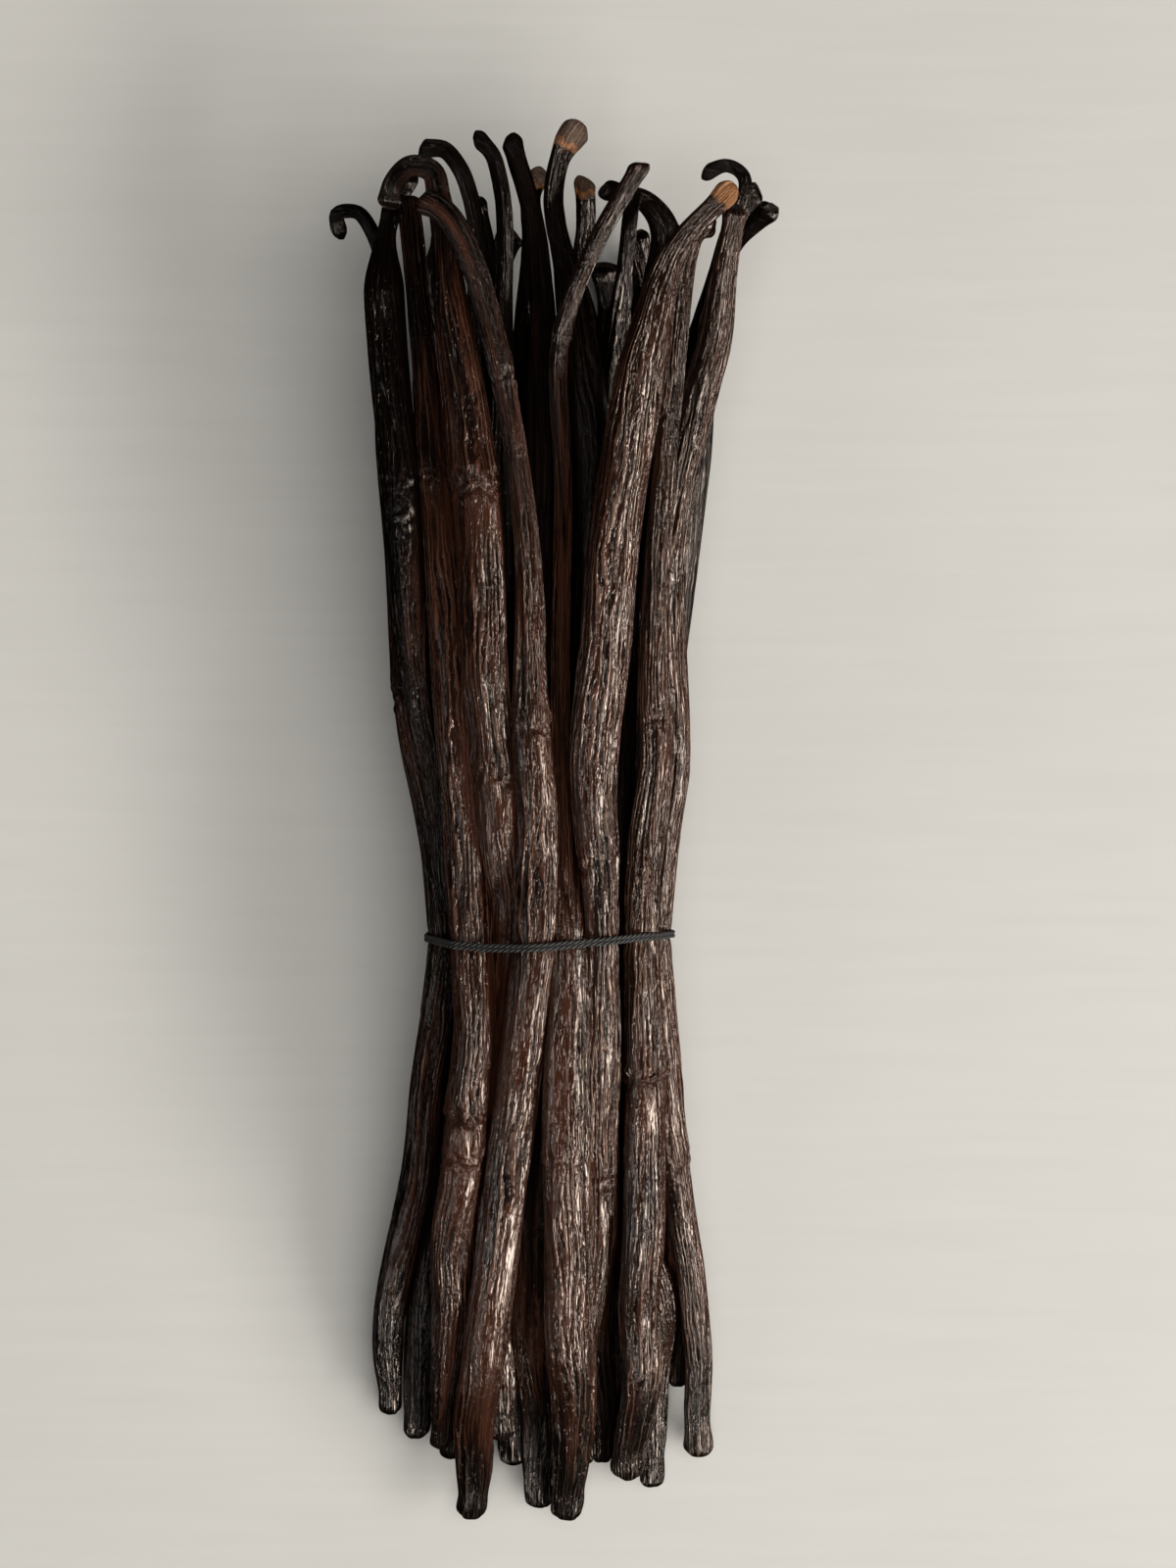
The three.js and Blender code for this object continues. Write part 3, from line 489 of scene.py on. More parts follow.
def skin_relief(noise, angle, s, nodes, evenness):
    """Height of the skin over the smooth pod, in millimetres, with the masks that its finish reads.
    Lobes and folds are slow noise. Ridges are crests (1 + cos p) / 2 of a phase p that counts them
    round the pod and is bent by noise, in two families of which the higher shows. Furrows are narrow
    valleys on the zero lines of a noise. At a node the phase is knotted, the skin crumpled, and a
    pinched ring lies below a swelling. evenness is the least share of its wrinkles that smooth faces
    keep."""

    def field(cell, turn, shift):
        across = SKIN_RADIUS / cell["across"]
        along = s / cell["along"] + shift
        return 2 * noise(np.cos(turn) * across + shift, np.sin(turn) * across - shift, along)

    bend = DRIFT["reach"] * field(DRIFT, angle, 11.3) + SWAY["reach"] * field(SWAY, angle, 23.7)
    turn = angle + bend / 2 / SKIN_RADIUS
    patch = smoothstep((field(PATCH, turn, 3.1) + 0.7) / 1.1)
    height = LOBE["height"] * field(LOBE, angle, 41.9) + FOLD["height"] * field(FOLD, turn, 57.3)
    furrow = bell(field(FURROW, turn, 95.9), 2 * FURROW["width"])
    furrow = furrow * smoothstep((field(PATCH, angle, 131.3) + 0.2) / 0.8)
    pinch = np.zeros_like(height)
    calm = np.ones_like(height)
    wander = PINCH_WANDER * 2 * noise(np.cos(angle) * 1.6, np.sin(angle) * 1.6, 7.7)
    for place, strength in nodes:
        uneven = noise(np.cos(angle) * 0.9, np.sin(angle) * 0.9, place * 3.3)
        reach = strength * smoothstep(0.75 + 1.4 * uneven)
        off = s - place - wander
        height = height - PINCH_DEPTH * reach * bell(off, PINCH_WIDTH)
        height = height + PINCH_SWELL * reach * bell(off - 2.2, 2.0)
        pinch = np.maximum(pinch, reach * bell(off - 0.6, 2.0))
        calm = calm * (1 - 0.75 * reach * bell(off + 4.0, 4.2))
    knot = PINCH_KNOT * pinch * field(CRUMPLE, angle, 151.1)
    wrinkle = mix(evenness, 1, patch) * calm
    strong = wrinkle * (0.35 + 0.65 * smoothstep((field(STRENGTH, turn, 171.9) + 0.55) / 0.9))
    family = smoothstep((field(PATCH, angle, 191.3) + 0.35) / 0.5)
    crests = []
    for ridges, share, shift in ((FINE_RIDGES, family, 71.7), (BROAD_RIDGES, 1 - 0.8 * family, 87.1)):
        weave = WEAVE["reach"] * field(WEAVE, angle, shift) + SHIVER["reach"] * field(SHIVER, angle, shift)
        phase = 2 * np.pi * (ridges["count"] * turn / (2 * np.pi) + weave / 2 + knot / 2)
        crests.append((np.cos(phase), np.sin(phase), share * strong, ridges["height"]))
    rise = [amount * tall * (1 + across) / 2 for across, _, amount, tall in crests]
    crumple = field(CRUMPLE, angle, 211.7)
    height = height + np.maximum(*rise) - 0.4 * strong * FINE_RIDGES["height"]
    height = height - FURROW["depth"] * furrow + CRUMPLE["height"] * crumple * pinch
    # furrow also marks where the finish paints shade into the skin's furrows.
    masks = dict(furrow_wrinkle_pinch=np.stack([furrow, wrinkle, pinch], -1))
    for name, (across, along, amount, _) in zip(("fine_ridge", "broad_ridge"), crests):
        masks[name] = np.stack([across, along, amount], -1)
    return height, masks


def ring_frames(pod, curve, place):
    """Centres of the rings at the given shares of the curve, and their directions along the pod,
    sideways and outwards."""
    centre, _ = at_shares(curve, place)
    ahead, _ = at_shares(curve, np.minimum(place + CURVE_LOOK, 1))
    behind, _ = at_shares(curve, np.maximum(place - CURVE_LOOK, 0))
    tangent = ahead - behind
    tangent /= np.linalg.norm(tangent, axis=1)[:, None]
    shares = np.linspace(0, 1, STATIONS)
    side = np.stack([np.interp(place, shares, axis) for axis in station_sides(pod).T], 1)
    side -= tangent * np.sum(side * tangent, axis=1)[:, None]
    side /= np.linalg.norm(side, axis=1)[:, None]
    return centre, tangent, side, np.cross(side, tangent)


def end_profiles(pod, s, radius):
    """The shares of the radius left at distances s from the tip. The first is that of the tip, a quarter
    superellipse behind a slight knob. The second has the stem's swollen end and its round rim too."""
    from_end = s[-1] - s
    tip_round = np.clip(s / (radius[0] * TIP_CLOSING), 0, 1)
    closing = np.clip(1 - (1 - tip_round) ** TIP_POWER, 0, 1) ** (1 / TIP_POWER)
    closing = closing * (1 + TIP_KNOB * (bell(s - 1.6, 1.3) - bell(s - 4.8, 2.0)))
    swell = pod.get("knob", KNOB_SWELL) - 1
    knob = 1 + swell * smoothstep(1.4 - from_end / pod.get("knob_length", KNOB_LENGTH))
    round_share = BALL_ROUND if "ball" in pod else CUT_ROUND
    rim = np.sqrt(1 - (round_share * np.clip(1 - from_end / pod.get("ball", CUT_RIM), 0, 1)) ** 2)
    return closing, closing * knob * rim


def finish_masks(pod, noise, turn, s, y, tone):
    """What the finish reads besides the wrinkles. ends: near the tip, and the painted shade near the stem end
    and where the skin is seen only through gaps. tone: red and dry. cut: the cut face, the pale end and its
    bark."""
    red, dry = tone
    from_end = s[-1:] - s
    tip = 1 - smoothstep(s / TIP_FADE)
    # Painted shade towards the stem end, weaker on dry pods.
    upper = smoothstep((STEM_SHADE_REACH - from_end) / STEM_SHADE_FADE) * (1 - dry)
    # Painted shade on the lower layers between these y, where they show only through gaps.
    gap_shade = smoothstep((y - GAPS[0]) / GAPS_FADE[0]) * smoothstep((GAPS[1] - y) / GAPS_FADE[1])
    gap_shade = SHADE[pod["layer"]] * gap_shade[:, None]
    edge = noise(np.cos(turn) * 1.5, np.sin(turn) * 1.5, 63.1)
    inside = pod.get("tan", -1) + edge - from_end
    bark = pod.get("bark", 0) * smoothstep((inside - BARK_EDGE) / 0.4)
    tan = smoothstep(inside / 0.5) * (1 - bark)
    return dict(
        ends=np.stack([tip, upper, gap_shade + 0 * s], -1),
        tone=np.stack([red + 0 * s, dry + 0 * s, 0 * s], -1),
        cut=np.stack([0 * s, tan, bark], -1))


def pod_surface(pod, fineness):
    """Points and finish masks of a pod's surface, ring by ring from tip to stem end. A point is the
    centre line's place plus side * w cos t + lift * w sin t, where w is the radius there plus the
    relief. The tip closes bluntly, and the stem end with a hollowed cut."""
    around, rings = fineness
    rng = np.random.default_rng(SHAPE_SEED + pod["index"])
    noise = Noise(SKIN_SEED + pod["index"])
    curve = smooth_curve(pod["at"], CURVE_STEPS)
    route, length = at_shares(curve, np.linspace(0, 1, CURVE_POINTS))
    nodes = pod_nodes(pod, route, rng)
    s = ring_distances(length, rings, nodes)
    centre, tangent, side, lift = ring_frames(pod, curve, s / length)
    y = centre[:, 1]
    turn = np.linspace(0, 2 * np.pi, around, endpoint=False)
    turn = turn + LEAN[pod["layer"]] * np.cos(turn)
    grid_s, grid_turn = np.meshgrid(s, turn, indexing="ij")

    drawn = rng.uniform(*DRAWN_TONE)
    red, dry = pod.get("tone", drawn)
    low = smoothstep((SMOOTH_BELOW[0] - y) / SMOOTH_BELOW[1])
    low = low * smoothstep((s - SMOOTH_FROM_TIP[0]) / SMOOTH_FROM_TIP[1])
    evenness = EVENNESS["least"] + EVENNESS["dry"] * dry - EVENNESS["red"] * red * low
    height, masks = skin_relief(noise, grid_turn, grid_s, nodes, evenness[:, None])
    height = height - height.mean()

    radius = width_at(pod, s, length, y) / 2
    closing, profile = end_profiles(pod, s, radius)
    near_end = smoothstep(1 - (length - s) / CUT_REACH)
    ragged = CUT_UNEVEN * near_end + TIP_UNEVEN * bell(s, 5.0)
    uneven = 1 + ragged[:, None] * 2 * noise(
        np.cos(grid_turn) * 1.3, np.sin(grid_turn) * 1.3, grid_s * 0.25 + 31.7)
    rest = np.minimum(1, (radius / FULL_RELIEF_RADIUS) ** STEM_RELIEF_POWER)
    rest = rest * smoothstep(s / TIP_CALM) * closing
    dent = DENT_DEPTH * bell(y - DENT_PLACE, DENT_WIDTH)
    w = (radius * profile)[:, None] * uneven + height * rest[:, None] - dent[:, None]

    out_side = side[:, None] * np.cos(grid_turn)[..., None]
    out_lift = lift[:, None] * (np.sin(grid_turn) * THICKNESS_RATIO)[..., None]
    points = centre[:, None] + (out_side + out_lift) * w[..., None]
    slanted = 0 if "ball" in pod else CUT_SLANT
    slant = slanted * near_end[:, None] * np.cos(grid_turn - rng.uniform(0, 2 * np.pi))
    points = points + tangent[:, None] * slant[..., None]
    points[..., 2] = np.maximum(points[..., 2], BOARD_GAP)

    spot = [np.cos(grid_turn) * SKIN_RADIUS, np.sin(grid_turn) * SKIN_RADIUS, grid_s]
    masks["skin"] = np.stack(spot, -1) + rng.uniform(-40, 40, 3)
    masks.update(finish_masks(pod, noise, grid_turn, grid_s, y, (red, dry)))
    return cap_ends(points, masks, tangent[-1], BALL_HOLLOW if "ball" in pod else CUT_HOLLOW)


def cap_ends(points, masks, outward, hollow):
    """Adds the cut face of the stem, rings hollowed inwards, and the point that closes each end. At the
    tip that point takes the place of the first ring, which has no width."""
    rim = points[-1]
    middle = rim.mean(axis=0)
    inner = [mix(rim, middle, share) + outward * rise * hollow for share, rise in CUT_RINGS]
    poles = np.array([points[0].mean(axis=0), middle - outward * hollow])
    points = np.concatenate([points[1:], np.array(inner)])
    masks = {name: np.concatenate([value, np.repeat(value[-1:], len(inner), 0)])
             for name, value in masks.items()}
    masks["cut"][-len(inner):, :, 0] = 1 - masks["cut"][-len(inner):].max(axis=-1)
    flat = np.concatenate([points.reshape(-1, 3), poles])
    flat_masks = {}
    for name, value in masks.items():
        ends = np.array([value[0].mean(axis=0), value[-1].mean(axis=0)])
        flat_masks[name] = np.concatenate([value[1:].reshape(-1, 3), ends])
    return flat, flat_masks, tube_faces(len(points), points.shape[1])


def tube_faces(rings, around):
    """Faces of a closed tube: a quad between neighbours of two rings, and a fan at each pole."""
    i, j = np.meshgrid(np.arange(rings - 1), np.arange(around), indexing="ij")
    k = (j + 1) % around
    quads = np.stack([i * around + j, (i + 1) * around + j, (i + 1) * around + k, i * around + k], -1)
    j = np.arange(around)
    k = (j + 1) % around
    first = np.stack([np.full(around, rings * around), j, k], -1)
    base = (rings - 1) * around
    last = np.stack([np.full(around, rings * around + 1), base + k, base + j], -1)
    return quads.reshape(-1, 4), np.concatenate([first, last])


# ---- Meshes ---------------------------------------------------------------------------------


def new_piece(name, points, quads, triangles, masks, material):
    """A mesh object with its place in its mesh, smooth faces and one vector attribute for each mask."""
    mesh = bpy.data.meshes.new(name)
    mesh.vertices.add(len(points))
    mesh.vertices.foreach_set("co", (points * MM + SHIFT).astype(np.float32).ravel())
    corners = np.concatenate([quads.ravel(), triangles.ravel()])
    mesh.loops.add(len(corners))
    mesh.loops.foreach_set("vertex_index", corners.astype(np.int32))
    mesh.polygons.add(len(quads) + len(triangles))
    starts = np.concatenate([np.arange(len(quads)) * 4, quads.size + np.arange(len(triangles)) * 3])
    mesh.polygons.foreach_set("loop_start", starts.astype(np.int32))
    mesh.update(calc_edges=True)
    mesh.shade_smooth()
    for mask, value in masks.items():
        layer = mesh.attributes.new(mask, "FLOAT_VECTOR", "POINT")
        layer.data.foreach_set("vector", value.astype(np.float32).ravel())
    mesh.materials.append(material)
    piece = bpy.data.objects.new(name, mesh)
    bpy.context.scene.collection.objects.link(piece)
    return piece


def joined(parts):
    """Several surfaces as one: their points, faces and masks one after another."""
    points, quads, triangles = [], [], []
    masks = {name: [] for name in parts[0][1]}
    start = 0
    for part_points, part_masks, (part_quads, part_triangles) in parts:
        points.append(part_points)
        quads.append(part_quads + start)
        triangles.append(part_triangles + start)
        start += len(part_points)
        for name, value in part_masks.items():
            masks[name].append(value)
    masks = {name: np.concatenate(value) for name, value in masks.items()}
    return np.concatenate(points), np.concatenate(quads), np.concatenate(triangles), masks


# ---- Materials ------------------------------------------------------------------------------


class Number:
    """A shader socket that carries a number. Python's operators on it add Math nodes."""

    def __init__(self, finish, socket):
        self.finish = finish
        self.socket = socket

    def __add__(self, other):
        return self.finish.math("ADD", self, other)

    def __radd__(self, other):
        return self.finish.math("ADD", other, self)

    def __sub__(self, other):
        return self.finish.math("SUBTRACT", self, other)

    def __rsub__(self, other):
        return self.finish.math("SUBTRACT", other, self)

    def __mul__(self, other):
        return self.finish.math("MULTIPLY", self, other)

    def __rmul__(self, other):
        return self.finish.math("MULTIPLY", other, self)

    def __truediv__(self, other):
        return self.finish.math("DIVIDE", self, other)

    def __rtruediv__(self, other):
        return self.finish.math("DIVIDE", other, self)

    def __pow__(self, other):
        return self.finish.math("POWER", self, other)

    def __rpow__(self, other):
        return self.finish.math("POWER", other, self)


class Finish:
    """A new material and the nodes that feed its Principled shader."""

    def __init__(self, name, **constants):
        self.material = bpy.data.materials.new(name)
        self.material.use_nodes = True
        self.tree = self.material.node_tree
        self.shader = self.tree.nodes["Principled BSDF"]
        for socket, value in constants.items():
            self.shader.inputs[socket.replace("_", " ")].default_value = value

    def node(self, kind, settings=None, sockets=None):
        """A node of a kind, with its settings set first, then its sockets' values or links."""
        made = self.tree.nodes.new(kind)
        for name, value in (settings or {}).items():
            setattr(made, name, value)
        live = {s.name: s for s in reversed(made.inputs) if s.enabled}
        for name, value in (sockets or {}).items():
            socket = made.inputs[name] if isinstance(name, int) else live[name]
            self.feed(socket, value)
        return made

    def feed(self, socket, value):
        """Links a value to a socket, or sets it there if it is a plain number, vector or colour."""
        if isinstance(value, Number):
            value = value.socket
        if isinstance(value, bpy.types.NodeSocket):
            self.tree.links.new(value, socket)
        else:
            socket.default_value = value

    def math(self, operation, a, b=0.0):
        made = self.node("ShaderNodeMath", dict(operation=operation), {0: a, 1: b})
        return Number(self, made.outputs[0])

    def ramp(self, value, low, high):
        """0 where the value is at most low, 1 where it is at least high, smooth between."""
        made = self.node(
            "ShaderNodeMapRange", dict(interpolation_type="SMOOTHSTEP"),
            {"Value": value, "From Min": low, "From Max": high})
        return Number(self, made.outputs["Result"])

    def attribute(self, name):
        return self.node("ShaderNodeAttribute", dict(attribute_name=name)).outputs["Vector"]

    def parts(self, vector):
        made = self.node("ShaderNodeSeparateXYZ", None, {"Vector": vector})
        return [Number(self, out) for out in made.outputs]

    def stretched(self, vector, factors):
        made = self.node("ShaderNodeVectorMath", dict(operation="MULTIPLY"), {0: vector, 1: factors})
        return made.outputs[0]

    def noise(self, vector, factors, detail=2.0, roughness=0.5, distortion=0.0):
        """Noise of a stretched vector, 0 to 1."""
        made = self.node("ShaderNodeTexNoise", None, {
            "Vector": self.stretched(vector, factors), "Scale": 1.0, "Detail": detail,
            "Roughness": roughness, "Distortion": distortion})
        return Number(self, made.outputs["Fac"])

    def blend(self, share, a, b):
        """Colour a where share is 0, b where it is 1."""
        made = self.node("ShaderNodeMix", dict(data_type="RGBA"), {"Factor": share, "A": a, "B": b})
        return [out for out in made.outputs if out.enabled][0]

    def bump(self, height):
        """Normal bent by a height in millimetres."""
        made = self.node("ShaderNodeBump", None, {"Height": height, "Strength": 1.0, "Distance": MM})
        self.feed(self.shader.inputs["Normal"], made.outputs["Normal"])

    def set(self, **sockets):
        for name, value in sockets.items():
            self.feed(self.shader.inputs[name.replace("_", " ")], value)


def crest_of(finish, name, start, sway):
    """Sharp crest, 0 to 1, of the family of ridges whose cosine, sine and strength are in an attribute,
    its phase p bent to p + sway: cos p cos sway - sin p sin sway."""
    across, along, amount = finish.parts(finish.attribute(name))
    length = (across * across + along * along + 0.001) ** 0.5
    bent = across * finish.math("COSINE", sway) - along * finish.math("SINE", sway)
    return finish.ramp(bent / length, start, 1.0) * amount


# Colours of the skin, from its darkest to its palest, and of the cut stem ends.
# The darkest is painted shade for the furrows and the valleys between crests; the palest crest colour is
# partly dry wear and partly painted sheen.
VALLEY_SHADE = (0.0008, 0.0005, 0.0004, 1)
BLACK_SKIN = (0.0040, 0.0022, 0.0015, 1)
RED_SKIN = (0.052, 0.0168, 0.0085, 1)
DULL_SKIN = (0.055, 0.034, 0.024, 1)
WORN_AND_SHEEN_CREST = (0.205, 0.128, 0.088, 1)
CUT_FACE = (0.022, 0.014, 0.011, 1)
TAN_FIBRES = ((0.11, 0.038, 0.012, 1), (0.42, 0.175, 0.058, 1))
BARK_FIBRES = ((0.020, 0.011, 0.007, 1), (0.115, 0.064, 0.038, 1))


def pod_skin():
    """Oily cured skin: red-brown on smooth faces, dull at the tip, with painted shade that makes it near
    black in the furrows and gaps and darker towards the stem end; its crests are paler where dry, partly wear
    and partly painted sheen. Cut stem ends are dark, pale and fibrous, or pale under brown bark."""
    finish = Finish("PodSkin", Specular_IOR_Level=1.0, IOR=1.56, Specular_Tint=(1.0, 0.84, 0.74, 1))
    skin = finish.attribute("skin")
    furrow, wrinkle, pinch = finish.parts(finish.attribute("furrow_wrinkle_pinch"))
    tip, upper, gap_shade = finish.parts(finish.attribute("ends"))
    red, dry, _ = finish.parts(finish.attribute("tone"))
    cut, tan, bark = finish.parts(finish.attribute("cut"))
    sway = (finish.noise(skin, (0.8, 0.8, 0.4), 2.0, 0.6) - 0.5) * 5.0
    sway = sway + (finish.noise(skin, (2.0, 2.0, 0.8), 2.0, 0.6) - 0.5) * 2.2
    fine = crest_of(finish, "fine_ridge", -0.3, sway)
    broad = crest_of(finish, "broad_ridge", 0.0, sway)
    crest = finish.math("MAXIMUM", fine, broad)

    streak = finish.noise(skin, (2.3, 2.3, 0.35), 3.0, 0.55, 0.8)
    thread = finish.noise(skin, (2.5, 2.5, 0.3), 1.0, 0.5, 0.8)
    grain = finish.noise(skin, (8.0, 8.0, 3.2), 3.0, 0.6)
    speck = finish.noise(skin, (1.9, 1.9, 2.1), 3.0, 0.6, 0.8)
    blotch = finish.noise(skin, (0.32, 0.32, 0.05), 3.0, 0.55)
    dust = finish.noise(skin, (1.4, 1.4, 0.5), 4.0, 0.7)

    # Painted shade dims the red towards the stem end and on pods seen through gaps; the tip is darker in its
    # own right.
    shade_and_dark_tip = upper * 0.4 + gap_shade * 0.3 + tip * 0.35
    redness = finish.ramp(blotch + red * 0.45 - wrinkle * 0.10 - shade_and_dark_tip, 0.40, 0.80)
    base = finish.blend(redness, BLACK_SKIN, RED_SKIN)
    # Painted shade: the valleys between crests and the furrows are painted near black.
    valley = finish.math("MAXIMUM", finish.ramp(crest + streak * 0.3, 0.42, 0.10) * wrinkle, furrow)
    base = finish.blend(valley * 0.93, base, VALLEY_SHADE)
    # Pale crests on dry pods: partly dry wear, partly painted sheen of the light catching them.
    worn = finish.ramp(crest + streak * 0.4, 0.5, 1.1) * (0.05 + dry * dry * 0.60) * (1.0 - upper)
    worn = worn * (1.0 - gap_shade)
    base = finish.blend(worn, base, WORN_AND_SHEEN_CREST)
    dull = finish.ramp(tip * 0.4 + dry * 0.35 + dust * 0.8, 0.85, 1.45)
    base = finish.blend(dull * 0.25 * (1.0 - gap_shade), base, DULL_SKIN)
    fibre = finish.ramp(grain, 0.38, 0.62)
    pale = finish.blend(fibre, *TAN_FIBRES)
    brown = finish.blend(fibre, *BARK_FIBRES)
    base = finish.blend(cut, base, CUT_FACE)
    base = finish.blend(bark, finish.blend(tan, base, pale), brown)

    rough = 0.10 + 0.07 * dust + 0.05 * dry + 0.10 * dull + 0.06 * grain
    rough = rough + cut * 0.3 + tan * 0.4 + bark * 0.4 + gap_shade * 0.25
    finish.set(Base_Color=base, Roughness=rough)
    ridge = finish.ramp(finish.math("ABSOLUTE", thread - 0.5), 0.07, 0.0)
    finish.bump(crest * 0.12 + streak * 0.035 + ridge * 0.05 + speck * wrinkle * 0.025 + pinch * speck * 0.2)
    return finish.material


def core_skin():
    """The dark heart of the bundle, hardly seen between the pods."""
    finish = Finish("DarkHeart")
    place = finish.node("ShaderNodeTexCoord").outputs["Object"]
    streak = finish.noise(place, (900, 60, 900), 2.0)
    finish.set(Base_Color=finish.blend(streak, (0.002, 0.0013, 0.001, 1), (0.012, 0.007, 0.005, 1)),
               Roughness=0.55 + 0.2 * streak)
    return finish.material


def thread_fibre():
    """Dark grey twisted thread with paler, fuzzy fibres on the crowns of its plies."""
    finish = Finish("TwistedThread", Specular_IOR_Level=0.3)
    ply, _, _ = finish.parts(finish.attribute("ply"))
    lay = finish.attribute("lay")
    strand = finish.noise(lay, (9, 9, 2.0), 3.0, 0.6)
    worn = finish.ramp(ply * 0.8 + strand * 0.5, 0.6, 1.2)
    finish.set(Base_Color=finish.blend(worn, (0.004, 0.004, 0.0045, 1), (0.105, 0.103, 0.097, 1)),
               Roughness=0.62 + 0.2 * strand)
    finish.bump(strand * 0.05)
    return finish.material


def pale_board():
    """Pale matt board with a faint ribbed grain."""
    finish = Finish("PaleBoard", Specular_IOR_Level=0.25, Roughness=0.75)
    place = finish.node("ShaderNodeTexCoord").outputs["Object"]
    rib = finish.noise(place, (30, 420, 1), 2.0)
    cloud = finish.noise(place, (14, 14, 1), 3.0)
    tone = finish.ramp(rib * 0.4 + cloud * 0.6, 0.3, 0.7)
    finish.set(Base_Color=finish.blend(tone, (0.520, 0.508, 0.478, 1), (0.550, 0.538, 0.508, 1)))
    return finish.material


# ---- Thread ---------------------------------------------------------------------------------

# Two turns side by side, THREAD_SPREAD to either side of their middle. They press into the skin and
# sag towards the tips on the upper left.
THREAD_RADIUS = 0.25
THREAD_SPREAD = 0.26
THREAD_PRESS = 0.08
THREAD_REST = 0.5
THREAD_SAG = 1.3
THREAD_SAG_TURN = math.radians(118)
THREAD_REACH = 1.7
THREAD_STEPS = 760
THREAD_AROUND = 16
PLIES = 3
PLY_DEPTH = 0.34
PLY_PITCH = 2.5


def waist_outline(points, angles):
    """Reach of the convex outline of the waist from its middle, at each angle: the support lines
    max(x cos a + z sin a) of the skin near the thread, and the nearest of them along each ray."""
    middle = envelope(0)[2]
    near = points[np.abs(points[:, 1] - THREAD_REST) < THREAD_REACH]
    ways = np.linspace(0, 2 * np.pi, 720, endpoint=False)
    support = (np.cos(ways)[:, None] * near[:, 0] + np.sin(ways)[:, None] * (near[:, 2] - middle)).max(axis=1)
    lean = np.cos(ways[None, :] - angles[:, None])
    return np.where(lean > 0.05, support / np.maximum(lean, 0.05), 1e9).min(axis=1)


def thread_surface(skin_points, offset, phase):
    """One turn of twisted thread round the waist: a tube on the waist's outline, whose radius is
    r (1 + d cos(3 (v - twist u))), three plies that wind round it."""
    angle = np.linspace(0, 2 * np.pi, THREAD_STEPS, endpoint=False)
    noise = Noise(70 + int(phase * 10))
    wobble = noise(np.cos(angle) * 4, np.sin(angle) * 4, phase)
    reach = waist_outline(skin_points, angle) + THREAD_RADIUS - THREAD_PRESS
    reach = reach + 0.12 * noise(np.cos(angle) * 2, np.sin(angle) * 2, phase + 5)
    sag = THREAD_SAG * np.maximum(0, np.cos(angle - THREAD_SAG_TURN)) ** 2
    middle = envelope(0)[2]
    centre = np.stack([np.cos(angle) * reach, THREAD_REST - sag + offset + 0.14 * wobble,
                       middle + np.sin(angle) * reach], 1)
    tangent = np.roll(centre, -1, 0) - np.roll(centre, 1, 0)
    run = np.linalg.norm(np.roll(centre, -1, 0) - centre, axis=1)
    length = run.sum()
    along = np.cumsum(run) - run
    tangent /= np.linalg.norm(tangent, axis=1)[:, None]
    across = np.array([0.0, 1.0, 0.0]) - tangent * tangent[:, 1:2]
    across /= np.linalg.norm(across, axis=1)[:, None]
    out = np.cross(across, tangent)
    turns = round(length / PLY_PITCH)
    v = np.linspace(0, 2 * np.pi, THREAD_AROUND, endpoint=False)[None, :]
    wind = v - 2 * np.pi * turns * (along / length)[:, None] + phase
    crown = np.abs(np.cos(wind * PLIES / 2))
    radius = THREAD_RADIUS * (1 + PLY_DEPTH * (crown - 0.64))
    outwards = across[:, None] * np.cos(v)[..., None] + out[:, None] * np.sin(v)[..., None]
    points = centre[:, None] + outwards * radius[..., None]
    flat = 0 * crown
    masks = dict(ply=np.stack([crown, flat, flat], -1).reshape(-1, 3),
                 lay=np.stack([np.cos(wind), np.sin(wind), flat + along[:, None]], -1).reshape(-1, 3))
    i, j = np.meshgrid(np.arange(THREAD_STEPS), np.arange(THREAD_AROUND), indexing="ij")
    a, b = (i + 1) % THREAD_STEPS, (j + 1) % THREAD_AROUND
    quads = np.stack([i * THREAD_AROUND + j, a * THREAD_AROUND + j, a * THREAD_AROUND + b,
                      i * THREAD_AROUND + b], -1).reshape(-1, 4)
    return points.reshape(-1, 3), masks, (quads, np.zeros((0, 3), int))


# ---- Heart ----------------------------------------------------------------------------------

# The heart's section along its length: y, half width, half height and height of the middle.
CORE = np.array([
    [-60, 9, 2.5, 4.5], [-34, 11, 4, 7], [-12, 10.5, 6, 12], [0, 10, 6.5, 14], [30, 12, 7, 14],
    [68, 13, 7, 14]])
CORE_RINGS = 40
CORE_AROUND = 48


def core_surface():
    """A barrel inside the pods: an ellipse at each y, straight between the given sections, whose size
    rises and falls along the length as the fourth root profile sqrt(1 - (2t - 1)^4)."""
    t = np.linspace(0, 1, CORE_RINGS + 2)[1:-1]
    y = mix(CORE[0, 0], CORE[-1, 0], t)
    share = np.sqrt(1 - (2 * t - 1) ** 4)
    wide, tall, middle = (np.interp(y, CORE[:, 0], CORE[:, k]) for k in (1, 2, 3))
    turn = np.linspace(0, 2 * np.pi, CORE_AROUND, endpoint=False)
    x = (share * wide)[:, None] * np.cos(turn)
    z = middle[:, None] + (share * tall)[:, None] * np.sin(turn)
    points = np.stack([x, np.broadcast_to(y[:, None], x.shape), z], -1)
    poles = CORE[[0, -1]][:, [0, 0, 3]] * [0, 1, 1]
    quads, triangles = tube_faces(CORE_RINGS, CORE_AROUND)
    return np.concatenate([points.reshape(-1, 3), poles]), quads, triangles


# ---- Assembly -------------------------------------------------------------------------------

pods = lay_pods()
settle(pods)
surfaces = [pod_surface(pod, GRID[pod["layer"]]) for pod in pods]

all_points = np.concatenate([points for points, _, _ in surfaces])
low, high = (np.array(corner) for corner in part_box("pods"))
SHIFT = (low + high) / 2 - (all_points.min(axis=0) + all_points.max(axis=0)) / 2 * MM
SHIFT[2] = 0

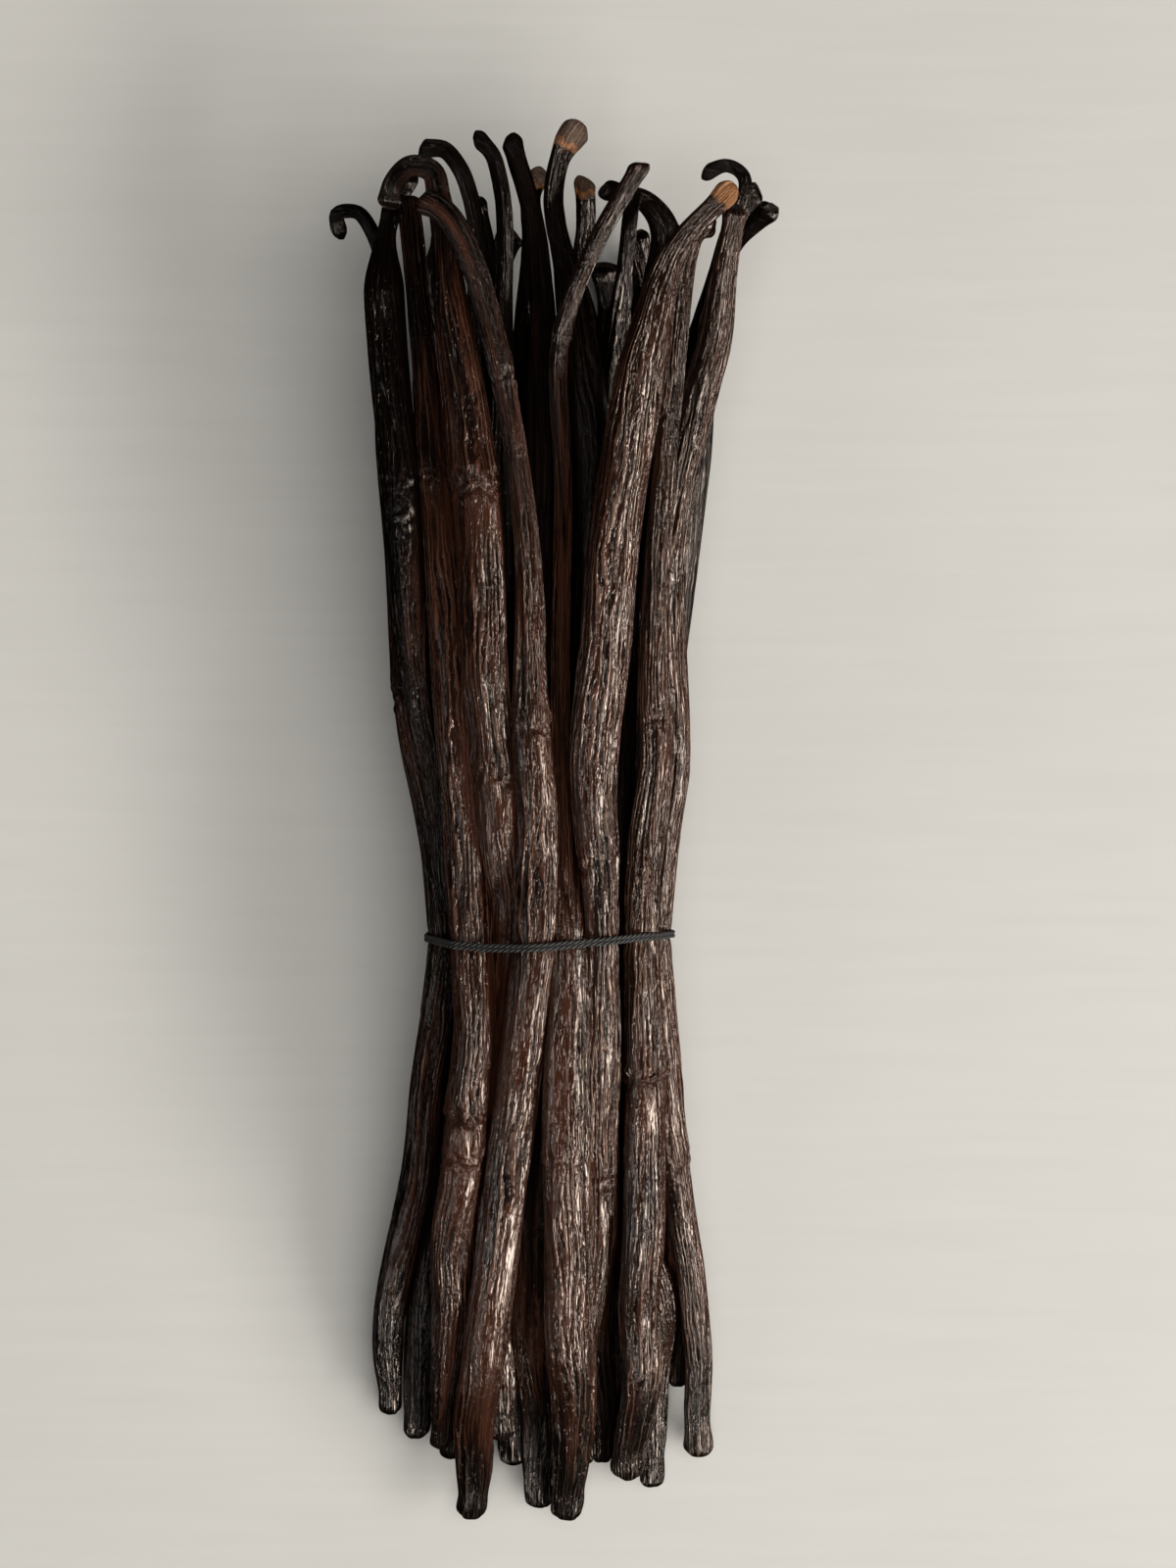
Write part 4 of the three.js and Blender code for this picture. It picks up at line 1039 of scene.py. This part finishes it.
skin_material = pod_skin()
for pod, (points, masks, (quads, triangles)) in zip(pods, surfaces):
    if pod["layer"] == "top":
        piece = new_piece(f"pod_top_{pod['index'] + 1}", points, quads, triangles, masks, skin_material)
        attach(piece, "root")
        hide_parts("pods")

GROUPS = [
    ("pods_second_left", range(9, 12)), ("pods_second_right", range(12, 16)),
    ("pods_under_upper", range(16, 21)), ("pods_under_lower", range(21, 26)),
]
for name, members in GROUPS:
    points, quads, triangles, masks = joined([surfaces[k] for k in members])
    piece = new_piece(name, points, quads, triangles, masks, skin_material)
    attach(piece, "root")
    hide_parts("pods")

core_points, core_quads, core_triangles = core_surface()
core = new_piece("heart", core_points, core_quads, core_triangles, {}, core_skin())
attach(core, "root")
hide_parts("pods")

thread_material = thread_fibre()
turns = [thread_surface(all_points, side * THREAD_SPREAD, phase) for side, phase in ((-1, 0.4), (1, 2.1))]
points, quads, triangles, masks = joined(turns)
thread = new_piece("thread", points, quads, triangles, masks, thread_material)
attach(thread, "root")
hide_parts("tie")

# ---- Board, light and camera ----------------------------------------------------------------

FLOOR_HALF = 1500.0
floor_points = FLOOR_HALF * np.array([[x, y, 0.0] for x, y in ((-1, -1), (1, -1), (1, 1), (-1, 1))])
floor_face = np.array([[0, 1, 2, 3]])
floor = new_piece("board", floor_points, floor_face, np.zeros((0, 3), int), {}, pale_board())
floor.visible_glossy = False

# The camera looks straight down from above the middle of the view.
VIEW_CENTRE = (5.3, 21.0)
CAMERA_HEIGHT = 380.0
LENS = 60.75
camera_data = bpy.data.cameras.new("Camera")
camera_data.lens = LENS
camera = bpy.data.objects.new("Camera", camera_data)
camera.location = Vector((VIEW_CENTRE[0], VIEW_CENTRE[1], CAMERA_HEIGHT)) * MM + Vector(SHIFT)
bpy.context.scene.collection.objects.link(camera)
bpy.context.scene.camera = camera

# What the lamps are turned towards, in metres.
LAMP_AIM = Vector((0, 0, 0.02))


def soft_light(name, place, size, power, colour, glint=True):
    """A rectangular lamp at a place in metres, turned towards the bundle. Without glint it fills the
    shadows and isn't seen in gloss."""
    data = bpy.data.lights.new(name, "AREA")
    data.shape = "RECTANGLE"
    data.size, data.size_y = size
    data.energy = power
    data.color = colour
    lamp = bpy.data.objects.new(name, data)
    lamp.location = place
    lamp.visible_glossy = glint
    lamp.rotation_euler = (LAMP_AIM - Vector(place)).to_track_quat("-Z", "Y").to_euler()
    bpy.context.scene.collection.objects.link(lamp)


soft_light("WindowLight", (0.98, -0.45, 0.64), (1.3, 0.22), 17.5, (1.0, 0.97, 0.93))
soft_light("SkyLight", (-0.85, -0.45, 0.60), (0.9, 0.5), 1.0, (0.86, 0.94, 1.0))
soft_light("CeilingLight", (0.30, -0.1, 1.2), (1.2, 1.2), 13.0, (1.0, 0.98, 0.95), glint=False)
world = bpy.data.worlds.new("Room")
world.use_nodes = True
world.node_tree.nodes["Background"].inputs["Color"].default_value = (1.0, 0.98, 0.95, 1)
world.node_tree.nodes["Background"].inputs["Strength"].default_value = 0.06
world.cycles_visibility.glossy = False
bpy.context.scene.world = world
bpy.context.scene.view_settings.view_transform = "Standard"
